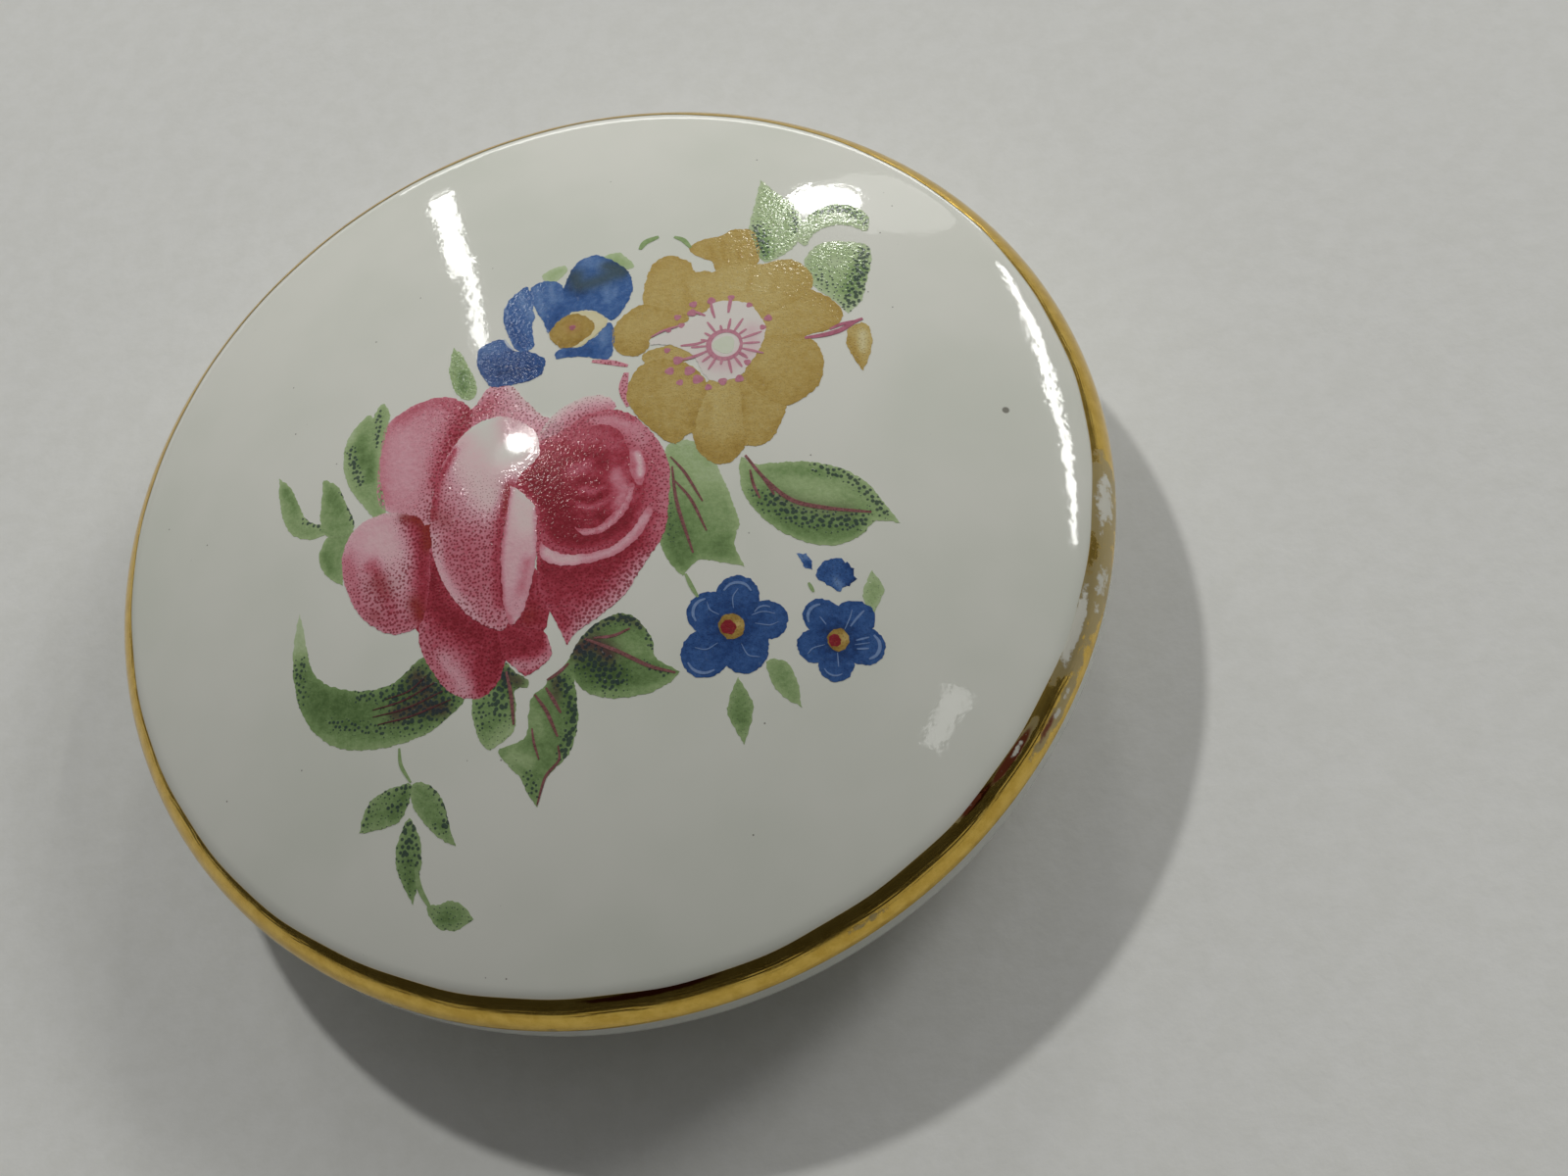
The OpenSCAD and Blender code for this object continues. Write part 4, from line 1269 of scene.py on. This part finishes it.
print_leaves([
    ("under_ochre", 0,
     [(3.55, 0.5), (4.4, 0.7), (5.1, 0.1), (5.5, -0.8), (5.8, -1.8), (6.05, -2.7), (5.85, -3.5),
      (6.15, -4.4, 1),
      (5.4, -4.2), (4.6, -4.05), (4.0, -4.6, 1), (3.5, -3.9), (3.2, -3.0), (3.2, -1.5)],
     0.42,
     [(0.3, 0.7, [(4.2, 0.3), (5, -0.8)]), (0.6, 0.8, [(3.8, -2.5), (4, -3.8)]), (0.58, 0.6, [(5.4, -3.6)])],
     0.12, [(0.35, 0.4, [(3.5, -1.5), (3.6, -3)])], []),
    ("right", 1,
     [(6.2, -0.15), (6.6, -0.48), (7.5, -0.48), (8.6, -0.52), (9.8, -0.9), (10.6, -1.55), (11.1, -2.3),
      (11.55, -3.05, 1), (10.75, -2.95), (10.2, -3.45), (9.4, -3.8), (8.4, -3.68), (7.3, -3.05), (6.5, -2.1),
      (6.15, -1.2)],
     0.42, [(0.58, 0.6, [(6.9, -2), (8.2, -3), (9.8, -3.1)]), (0.34, 0.5, [(8, -1.2), (9.2, -1.7)]),
            (0.5, 0.3, [(7.6, -0.7), (9.4, -1)])],
     0.0,
     [(0.85, 0.42, [(7.2, -1.9), (8, -2.6), (9.2, -2.9), (10.2, -2.9)]), (0.6, 0.2, [(6.6, -1.5), (7, -2.3)]),
           (0.8, 0.26, [(8.8, -0.75), (9.8, -1.15), (10.5, -1.8), (11.0, -2.6)])],
     [(0.35, 0.3, [(7.6, -1.9), (8.6, -2.3), (9.8, -2.5)])]),
    ("small_right", 0, [(10.45, -4.8, 1), (10.82, -5.5), (10.4, -6.35, 1), (10.08, -5.7)],
     0.38, [], 0.2, [], []),
    ("small_drop", 0, [(5.7, -8.35, 1), (6.15, -9.4), (5.75, -10.65, 1), (5.28, -9.5)],
     0.5, [(0.62, 0.25, [(5.7, -9.7)])], 0.2, [], []),
    ("small_low", 0, [(6.75, -7.85), (7.4, -7.95), (7.7, -8.7), (7.75, -9.5, 1), (7.1, -9.05), (6.78, -8.5)],
     0.46, [], 0.15, [], []),
])

# %% [markdown]
# ## Leaves at the left
# The three small leaves and the tall one have their dots, if any, in narrow bands. The long sickle
# leaf below is broad and dark, with purple laid in towards its right-hand end.

# %% Leaves left of the rose
print_leaves([
    ("left_tall", 1,
     [(-7.4, 4.4), (-7.1, 3.8), (-7.2, 3.0), (-7.35, 2), (-7.3, 1), (-7.0, -0.3), (-7.3, -0.7), (-7.8, -0.1),
      (-8.6, 1.0), (-8.9, 2.2), (-8.8, 3.1), (-8.4, 3.7), (-8.0, 4.05), (-7.8, 3.85), (-7.6, 4.3)],
     0.4,
     [(0.58, 0.3, [(-8.3, 3), (-8.1, 2)]), (0.6, 0.25, [(-7.8, 2), (-7.7, 1.2)]), (0.3, 0.3, [(-8.6, 3.2)])],
     0.05, [(0.95, 0.2, [(-8.6, 2.6), (-8.4, 1.8), (-8.1, 1.1)]),
            (0.85, 0.17, [(-7.6, 4.1), (-7.5, 3.3), (-7.5, 2.6)])],
     []),
    ("left_outer", 0,
     [(-11.65, 2.2, 1), (-11.1, 1.6), (-10.7, 0.8), (-10.25, 0), (-9.3, -0.55), (-9.9, -0.85), (-10.8, -0.5),
      (-11.3, 0.3), (-11.55, 1.2)],
     0.42, [(0.55, 0.2, [(-11.3, 1.6), (-10.7, 0.6)])],
     0.0, [(1.0, 0.14, [(-10.4, 0.05), (-9.5, -0.45)])], []),
    ("left_middle", 1,
     [(-9.7, 1.6, 1), (-9.1, 1.2), (-8.7, 0.4), (-8.25, -0.6), (-8.6, -1.0), (-9.4, -0.85), (-9.7, -0.1),
      (-9.7, 0.8)],
     0.45, [(0.55, 0.25, [(-9.3, 0.9), (-8.9, 0.2)])],
     0.0, [(1.0, 0.13, [(-8.85, 0.9), (-8.6, 0.3), (-8.3, -0.5)])],
     []),
    ("left_low", 0,
     [(-9.6, -1.3), (-9.2, -0.8), (-8.4, -0.8), (-8.2, -1.2), (-8.5, -1.8), (-8.65, -3.0, 1), (-9.3, -2.5),
      (-9.65, -1.9)],
     0.45, [(0.56, 0.2, [(-9.4, -1.6), (-9.2, -2.3)])], 0.05, [], []),
    ("sickle", 0,
     [(-10.4, -3.75, 1), (-10.15, -4.6), (-9.95, -5.6), (-9.6, -6.3), (-9, -6.75), (-8, -7.1), (-7, -7.15),
      (-6.3, -6.9), (-5.6, -6.35), (-5.2, -6.4), (-4.6, -7.2), (-3.9, -8.0), (-4.5, -8.6), (-5.5, -9.1),
      (-7, -9.3), (-8.5, -9.1), (-9.5, -8.5), (-10.2, -7.5), (-10.55, -6.3), (-10.6, -5)],
     0.58, [(0.28, 0.55, [(-10.4, -3.9), (-10.35, -5)]), (0.66, 0.5, [(-9.4, -7.2), (-8, -7.9)]),
            (0.48, 0.3, [(-9.3, -8.6), (-7, -9.2), (-5, -9)]), (0.72, 0.7, [(-6, -7.6), (-5, -8)])],
     0.12, [(0.85, 0.6, [(-6.4, -7.7), (-5.6, -7.2), (-4.7, -8.0), (-6, -8.4)]),
            (0.7, 0.25, [(-8, -7.3), (-6.8, -7.4)]),
           (0.7, 0.22, [(-9, -8.1), (-8, -8.4), (-7, -8.7)]), (0.6, 0.3, [(-10.4, -5.7), (-10.2, -7)]),
           (0.7, 0.15, [(-10, -5.5), (-10.4, -5.9)])],
     [(0.75, 0.4, [(-5.7, -7.0), (-5.3, -7.5)]), (0.75, 0.3, [(-6.5, -8.2), (-5.6, -8.1), (-4.7, -8.3)])]),
])

# %% [markdown]
# ## Sprig and lower leaves
# The little sprig hangs from the sickle leaf by a thin stalk. The three leaves under the rose lie side
# by side, with narrow white gaps left between them.

# %% Sprig and lower leaves
print_leaves([
    ("sprig_left", 1,
     [(-6, -10.7), (-6.8, -10.75), (-7.5, -11.0), (-7.85, -11.5), (-8.02, -12.08, 1), (-7.2, -12.05),
      (-6.5, -11.9), (-6.1, -11.3)],
     0.5, [(0.62, 0.3, [(-6.6, -11.6), (-6.2, -11.1)])], 0.3, [(0.8, 0.13, [(-6.9, -10.85), (-6.1, -10.8)]),
      (0.8, 0.12, [(-7.6, -11.2), (-7.9, -11.8)]), (0.8, 0.14, [(-6.9, -11.4), (-6.2, -11.4)])], []),
    ("sprig_right", 1,
     [(-5.95, -10.72), (-5.4, -10.78), (-4.9, -11.3), (-4.7, -12), (-4.45, -13, 1), (-5.1, -12.6),
      (-5.6, -12),
      (-5.95, -11.5)],
     0.5, [(0.62, 0.2, [(-4.9, -12.2)])], 0.2, [(0.95, 0.18, [(-4.75, -11.5), (-4.7, -12.2), (-5.0, -12.3)]),
      (0.85, 0.12, [(-5.2, -10.9), (-4.9, -11.3)])], []),
    ("sprig_middle", 2,
     [(-6.1, -11.85), (-5.8, -12.4), (-5.72, -13.2), (-5.9, -14), (-6.15, -14.7, 1), (-6.5, -14),
      (-6.7, -13.1),
      (-6.5, -12.4)],
     0.52, [(0.62, 0.25, [(-6.2, -13.4), (-6.2, -14.2)])], 0.35,
     [(0.85, 0.26, [(-6.1, -12.1), (-6.3, -13.0)]), (0.7, 0.12, [(-5.8, -12.6), (-5.85, -13.8)])], []),
    ("sprig_end", 1,
     [(-5.65, -14.85), (-5.2, -14.8), (-4.7, -14.75), (-4.3, -14.95), (-3.98, -15.45, 1), (-4.6, -15.7),
      (-5.2, -15.6), (-5.5, -15.3)],
     0.48, [(0.6, 0.25, [(-5, -15.3)])], 0.3, [], []),
    ("low_right", 1,
     [(0, -7), (0.3, -6.5), (0.9, -6), (1.6, -5.72), (2.2, -5.85), (2.6, -6.3), (2.9, -6.9), (2.9, -7.4),
      (3.75, -8.0, 1), (3.4, -8.35), (2.6, -8.65), (1.4, -8.7), (0.5, -8.4), (0.1, -7.9), (-0.1, -7.4)],
     0.6, [(0.46, 0.4, [(1.8, -6.8), (2.5, -7.1)]), (0.76, 0.5, [(0.6, -7.4), (1.5, -7.9)]),
            (0.48, 0.2, [(0.8, -8.5), (2.6, -8.5), (3.4, -8.2)])],
     0.1, [(0.92, 0.55, [(0.3, -6.9), (0.9, -7.4), (1.4, -8)]),
           (0.95, 0.22, [(0.6, -6.2), (1.6, -5.85), (2.5, -6.2)]),
           (0.8, 0.15, [(2.5, -6.2), (2.85, -7)]), (0.7, 0.14, [(2.5, -7.6), (3.3, -8.1)])],
     [(0.9, 0.4, [(0.2, -6.8), (0.8, -6.7), (1.3, -7.1)]),
      (0.5, 0.15, [(0.6, -6.2), (1.6, -5.85), (2.5, -6.2)])]),
    ("low_middle", 0,
     [(0, -7.15), (-0.4, -7.5), (-0.85, -7.75), (-1.0, -8.0), (-1.45, -8.3), (-1.6, -8.9), (-1.7, -9.6),
      (-2.1, -9.85), (-2.75, -10.0), (-2.4, -10.6), (-2, -11), (-1.75, -11.6), (-1.45, -12.05, 1),
      (-1.1, -11.2),
      (-0.3, -10.5), (0, -9.9), (0.15, -9.2), (0.1, -8.2)],
     0.56, [(0.36, 0.35, [(-2.2, -10.3), (-1.7, -10.5)]), (0.42, 0.25, [(-1.3, -9), (-1.2, -9.6)]),
           (0.65, 0.35, [(-0.4, -8), (0, -9)])],
     0.0, [(0.9, 0.3, [(-0.5, -7.8), (-0.1, -8.4), (-0.05, -9.4), (-0.4, -10.4)]),
           (0.6, 0.3, [(-1.7, -11), (-1.5, -11.6)]),
           (0.3, 0.3, [(-2.2, -10.5)])],
     [(0.6, 0.2, [(-0.6, -7.8), (-0.6, -8.4)])]),
    ("low_left", 0,
     [(-2.4, -7.0), (-2.0, -7.4), (-1.55, -7.7), (-1.62, -7.95), (-2.05, -8.0), (-2.05, -8.6), (-2.1, -9.2),
      (-2.2, -9.5), (-3, -9.95), (-3.4, -9.6), (-3.6, -8.9), (-3.6, -8.1), (-3.0, -7.9)],
     0.52, [(0.36, 0.3, [(-2.4, -9.3), (-2.9, -9.7)]), (0.7, 0.4, [(-2.5, -7.6), (-2.2, -7.8)])],
     0.25, [(0.9, 0.35, [(-2.4, -7.4), (-2.7, -8.1), (-2.6, -8.6)]), (0.6, 0.25, [(-3.4, -8.3), (-3.3, -9)])],
     [(0.7, 0.25, [(-2.4, -7.4), (-1.9, -7.7)])]),
])

# %% [markdown]
# ## Leaves round the upper flowers
# These have the palest washes of all, except the leaf beside the pansy.

# %% Leaves round the upper flowers
print_leaves([
    ("top_left", 1,
     [(7, 13.15, 1), (7.6, 12.3), (8.35, 11.5), (8.6, 10.3), (8.2, 9.2), (7.2, 8.6), (6.8, 9.6), (6.6, 10.5),
      (6.8, 11.8)],
     0.3, [(0.55, 0.3, [(7, 10), (7.2, 9)]), (0.42, 0.2, [(8.3, 11), (8.3, 10)])],
     0.3, [(0.8, 0.3, [(6.9, 10.4), (7.1, 9.2)]), (0.7, 0.2, [(8.3, 11.2), (8.4, 10.1)])], []),
    ("top_curl", 2,
     [(8.35, 9.8), (8.6, 10.6), (9.1, 11.2), (9.8, 11.5), (10.6, 11.3), (11.05, 10.7), (10.95, 10.0),
      (10.3, 10.3),
      (9.6, 10.3), (9.0, 9.9), (8.7, 9.3)],
     0.28, [(0.5, 0.2, [(9, 11), (10, 11.4), (10.9, 10.8)])],
     0.3, [(0.8, 0.22, [(9.2, 11.1), (10.2, 11.2), (10.9, 10.5)])],
     []),
    ("top_right", 0,
     [(8.7, 8.7), (9.3, 9.4), (10.2, 9.45), (11, 9.2), (11.1, 8.4), (10.9, 7.4), (10.7, 6.5), (10.2, 5.85, 1),
      (9.8, 6.4), (9.1, 7.1), (8.7, 7.8)],
     0.3, [(0.5, 0.4, [(10.3, 7), (10.7, 8)]), (0.2, 0.3, [(9.8, 8.4)])],
     0.3, [(0.9, 0.35, [(10.3, 6.4), (10.6, 7.3), (10.9, 8.8)]), (0.6, 0.3, [(9.2, 7.8), (9.6, 7.2)])], []),
    ("by_pansy", 0,
     [(-4.7, 6.35, 1), (-4.78, 5.2), (-4.5, 4.3), (-4.1, 3.8), (-3.65, 3.9), (-3.7, 4.6), (-4, 5.3),
      (-4.35, 6)],
     0.42, [(0.56, 0.2, [(-4.2, 4.3), (-4.2, 5)])], 0.25, [], []),
    ("pansy_sepal_left", 0, [(-1.35, 9.15), (-0.95, 9.45), (-0.45, 9.55), (-0.4, 9.15), (-0.9, 8.7)],
     0.3, [], 0.1, [], []),
    ("pansy_sepal_right", 0, [(1.0, 9.6), (1.6, 9.85), (2.0, 9.45), (2.25, 8.95), (1.6, 9.0)],
     0.34, [], 0.1, [], []),
])

# %% [markdown]
# ## Veins and stalks
# The last lines are purple veins, green stalks and two stray strokes in the rose's pink. Each set is
# one piece of tapered lines, and only the veins lie above the leaves.

# %% Veins and stalks
flat_lines(
    "sickle_veins", STEM, 4,
    [(0.06, [(-7.4, -7.9), (-6.2, -7.75), (-5.0, -7.3)]),
     (0.06, [(-7.4, -8.15), (-6.1, -8.05), (-4.7, -7.65)]),
     (0.06, [(-7.2, -8.45), (-5.9, -8.35), (-4.4, -8.0)]),
     (0.05, [(-6.9, -7.6), (-6.0, -7.45), (-5.3, -7.0)])],
    tone=0.9, dots=0.35,
)
flat_lines(
    "purple_veins", STEM, 4,
    [(0.11, [(3.7, 0.1), (4.2, -0.6), (4.8, -1.8)]), (0.11, [(3.85, -0.9), (4.4, -1.7), (4.9, -2.95)]),
     (0.13, [(3.75, -0.3), (3.9, -1.8), (4.4, -3.75)]),
     (0.16, [(6.35, -0.1), (7, -1.1), (7.9, -2), (9.1, -2.38), (10.6, -2.6)]),
     (0.11, [(6.5, -0.7), (6.6, -1.3), (6.8, -1.85)]), (0.13, [(6.9, -1), (7.15, -1.4), (7.3, -1.75)]),
     (0.14, [(0.5, -6.5), (1.6, -7.05), (2.7, -7.7), (3.6, -8.02)]),
     (0.11, [(0.8, -6.5), (1.5, -6.5), (2.1, -6.3)]),
     (0.13, [(-1.35, -8.25), (-0.95, -8.9), (-0.6, -9.8)]),
     (0.13, [(-0.95, -8.05), (-0.7, -8.5), (-0.45, -9)]),
     (0.09, [(-1.5, -9.4), (-1.45, -9.9), (-1.3, -10.5)]),
     (0.10, [(-1.45, -12), (-1.1, -11.1), (-0.6, -10.6), (-0.6, -10.1)]),
     (0.14, [(-2.35, -7.3), (-2.2, -8.2), (-2.15, -9.2)]),
     (0.12, [(-0.1, -7.3), (-0.5, -7.6), (-0.9, -7.8)])],
    tone=0.68, dots=0.35,
)
flat_lines(
    "green_stalks", LEAF, 1,
    [(0.16, [(4.1, -4.5), (4.3, -5.0), (4.5, -5.4)]), (0.14, [(-6.4, -9.4), (-6.35, -10.0), (-6, -10.65)]),
     (0.2, [(-5.95, -13.5), (-5.85, -14.2), (-5.5, -14.9)]),
     (0.26, [(2.45, 9.85), (2.65, 10.2), (3.15, 10.42)]),
     (0.2, [(3.75, 10.32), (4.1, 10.1), (4.4, 9.65)]), (0.14, [(8.3, -5.15), (8.45, -5.5)]),
     (0.2, [(-9.6, -0.55), (-8.9, -0.9), (-8.4, -0.9)])],
    tone=0.42,
)
flat_lines(
    "rose_stray_strokes", ROSE, 0,
    [(0.22, [(0.8, 4.62), (1.5, 4.45), (2.15, 4.2)]), (0.34, [(2.1, 3.9), (2.0, 3.2), (2.2, 2.4)])],
    tone=0.46, dots=0.5,
)
print(f"{len(PRINTED)} printed pieces on the face")

# %% [markdown]
# ## The gold band
# Liquid gold is brushed round the shoulder on a turning wheel and fired. It comes out a mirror-bright
# film a fraction of a hair thick, with fine brush lines along the wheel's turn and a slightly unsteady
# inner edge. This button has been worn: on the side where it rubbed, the gold is thin or gone and the
# porcelain shows through. The band is a spun strip; where it is worn is painted on it as a number.

# %% Gold band
BAND_TURNS = 1440
BAND_ROWS = 26
BAND_START = 35.0  # the surface's slope at the inner edge, in degrees
BAND_END = 83.0  # and at the outer edge
BAND_LIFT = 0.012
BAND_FILM = 0.02
# Worn places: amount, direction in degrees, its spread, slope in degrees, its spread
WORN = [
    (0.72, -6, 7, 55, 34), (0.62, -16, 8, 62, 30), (0.8, -22, 8, 40, 16), (0.6, -30, 8, 64, 12),
    (0.62, -37, 6, 40, 8), (0.42, -24, 8, 58, 18), (0.3, 6, 8, 76, 14), (0.5, -45, 5, 37, 5),
    (0.35, -60, 4, 60, 10), (0.3, -95, 6, 80, 8),
]
# Painted reflection: red-brown places at the inner edge on the near side, where the gold mirrors the dark
# room in front
DARK_REFLECTION_PATCHES = [(0.9, -38, 4, 40, 6), (0.8, -44, 3, 38, 5), (0.7, -84, 10, 38, 5), (0.5, -33, 3, 60, 8)]


def around_band(patches, turn, slope):
    """The strongest of some soft patches at each place on the band."""
    value = np.zeros(turn.shape)
    for amount, middle, spread, height, depth in patches:
        away = ((turn - middle) / spread) ** 2 + ((slope - height) / depth) ** 2
        value = np.maximum(value, amount * np.exp(-away))
    return value


def make_gold():
    finish = Mix("fired_gold")
    rubbed = finish.noise(0.5, detail=6, roughness=0.65)
    fine = finish.noise(0.09, detail=3)
    loss = finish.math("ADD", finish.told("worn"), finish.math("MULTIPLY_ADD", rubbed, 0.7, -0.35))
    bare = finish.ramp(loss, 0.56, 0.66)
    thin = finish.ramp(loss, 0.3, 0.42)
    brushed = finish.told("brushed")
    gold = finish.blend(finish.ramp(rubbed, 0.35, 0.65), tint(230, 194, 98), tint(214, 176, 80))
    gold = finish.blend(finish.math("MULTIPLY", thin, 0.85), gold, tint(184, 168, 124))
    uneven = finish.math("MULTIPLY", rubbed, 0.4)
    # Painted reflection: red-brown laid into the gold where it mirrors the dark room in front
    painted_reflection = finish.ramp(finish.math("ADD", finish.told("painted_reflection"), uneven), 0.5, 0.7)
    gold = finish.blend(painted_reflection, gold, tint(128, 62, 34))
    relief = finish.bump(fine, 0.002, below=finish.bump(brushed, 0.004))
    not_metal = finish.math("MAXIMUM", bare, finish.math("MULTIPLY", thin, 0.55))
    dull = finish.math("MULTIPLY_ADD", fine, 0.12, 0.12)
    finish.set(
        base_color=finish.blend(bare, gold, tint(226, 224, 212)),
        metallic=finish.math("SUBTRACT", 1.0, not_metal),
        roughness=finish.math("ADD", finish.math("MULTIPLY", thin, 0.2), dull),
        normal=relief,
    )
    return finish.material


def make_band():
    turns = np.linspace(0, 360, BAND_TURNS, endpoint=False)
    around = np.radians(turns)
    start = BAND_START + 1.2 * np.sin(5 * around + 1)
    start = start + 0.8 * np.sin(13 * around) + 0.6 * np.sin(31 * around + 2)
    end = BAND_END + np.sin(7 * around + 2) * 0.8
    share = np.linspace(0, 1, BAND_ROWS)[:, None]
    slope = start + (end - start) * share
    radius = SHOULDER_R + BAND_LIFT
    out = SHOULDER_X + radius * np.sin(np.radians(slope))
    height = SHOULDER_Z + radius * np.cos(np.radians(slope))
    rings = np.stack([out * np.cos(around), out * np.sin(around), height], axis=2)
    faces = sheet_faces(BAND_ROWS, BAND_TURNS, closed=True)
    band = make_piece("gold_band", rings.reshape(-1, 3), faces, make_gold(), "gilt_rim", slot="gilding")
    turn = np.broadcast_to((turns + 180) % 360 - 180, slope.shape)
    coarse = np.sin(slope * 2.1 + 0.6 * np.sin(3 * around))
    fine = np.sin(slope * 5.3 + np.sin(2 * around))
    lines = 0.5 + 0.25 * coarse + 0.25 * fine
    carry(band, "worn", around_band(WORN, turn, slope).ravel())
    # the painted reflection's patches are stored on the band as a number
    carry(band, "painted_reflection", around_band(DARK_REFLECTION_PATCHES, turn, slope).ravel())
    carry(band, "brushed", lines.ravel())
    thicken(band, BAND_FILM)
    return band


gold_band = make_band()
print(f"gold band: {len(gold_band.data.polygons)} faces")

# %% [markdown]
# ## The shank
# The button is sewn on by a wire eye. The wire's two ends go through a stamped brass plate, are bent
# flat behind it and are set with it in white cement, in the back of the porcelain. These shapes are
# already exact, so they only get their surfaces here. Old brass browns in clouds, with darker freckles,
# and keeps very fine marks, closer together on the wire than on the stamped plate.

# %% Brass and cement finishes
def make_brass(name, clean, marks):
    """Tarnished brass; more clean is brighter, and marks is the spacing of its fine rings in millimetres."""
    finish = Mix(name)
    cloud = finish.noise(1.3, detail=5, roughness=0.62)
    grain = finish.noise(0.1, detail=4, roughness=0.7)
    freckles = finish.ramp(finish.noise(0.42, detail=4), 0.58, 0.7)
    tarnish = finish.ramp(cloud, clean, clean + 0.22)
    turns = finish.math("SINE", finish.math("MULTIPLY", finish.near((0, 0)), 2 * math.pi / marks))
    metal = finish.blend(tarnish, tint(204, 172, 104), tint(128, 98, 56))
    metal = finish.blend(finish.math("MULTIPLY", freckles, 0.65), metal, tint(74, 54, 36))
    dull = finish.math("MULTIPLY_ADD", tarnish, 0.22, 0.24)
    finish.set(
        base_color=metal,
        metallic=finish.math("MULTIPLY_ADD", freckles, -0.4, 1.0),
        roughness=finish.math("MULTIPLY_ADD", grain, 0.12, dull),
        normal=finish.bump(grain, 0.003, below=finish.bump(turns, 0.0015)),
    )
    return finish.material


def make_cement():
    finish = Mix("white_cement")
    sand = finish.noise(0.16, detail=5, roughness=0.75)
    cloud = finish.ramp(finish.noise(1.1, detail=4), 0.35, 0.7)
    pores = finish.ramp(finish.dots(0.45), 0.1, 0.22, 1.0, 0.0)
    dust = finish.blend(cloud, tint(212, 207, 192), tint(176, 166, 144))
    finish.set(
        base_color=finish.blend(finish.math("MULTIPLY", pores, 0.55), dust, tint(112, 102, 86)),
        roughness=0.95,
        normal=finish.bump(pores, -0.05, below=finish.bump(sand, 0.05)),
    )
    return finish.material


def dress(node, material):
    """Gives a fixed part's own slots a better material."""
    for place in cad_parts[node].material_slots:
        place.material = material


white_cement = make_cement()
dress("cement_bed", white_cement)
dress("shank_plate", make_brass("stamped_brass", 0.4, 0.35))
dress("shank_loop", make_brass("drawn_brass", 0.48, 0.16))
print("shank dressed in brass and cement")

# %% [markdown]
# ## Squeezed-out cement
# When the plate is pressed into wet cement, a little oozes out and dries as a lumpy bead in the corner
# between the plate's edge and the porcelain. It is spun like the rest, but its width and height wander.

# %% Cement bead
BEAD_TURNS = 360
BEAD_ROWS = 9
PLATE_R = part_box("shank_plate")[1].x / MM


def make_bead():
    around = np.linspace(0, 2 * math.pi, BEAD_TURNS, endpoint=False)
    lump = 0.5 + 0.22 * np.sin(3 * around + 1) + 0.16 * np.sin(8 * around) + 0.12 * np.sin(19 * around + 2)
    spread = 0.32 + 0.3 * lump
    climb = 0.12 + 0.2 * lump
    share = np.linspace(0, 1, BEAD_ROWS)[:, None]
    out = PLATE_R + spread * share ** 0.7
    porcelain = FACE_CENTRE + np.sqrt(HOLLOW_R ** 2 - out ** 2)
    height = porcelain - (climb + 0.1) * (1 - share) ** 0.7
    corner = np.full((1, BEAD_TURNS), PLATE_R)
    out = np.concatenate([out, corner])
    height = np.concatenate([height, corner * 0 + FACE_CENTRE + math.sqrt(HOLLOW_R ** 2 - PLATE_R ** 2)])
    rings = np.stack([out * np.cos(around), out * np.sin(around), height], axis=2)
    points = rings.reshape(-1, 3)
    quads = sheet_faces(len(out) + 1, BEAD_TURNS, closed=True)
    faces = [tuple(corner % len(points) for corner in quad) for quad in quads]  # the last row meets the first
    return make_piece("cement_bead", points, faces, white_cement, slot="cement")


cement_bead = make_bead()
print(f"cement bead: {len(cement_bead.data.polygons)} faces")
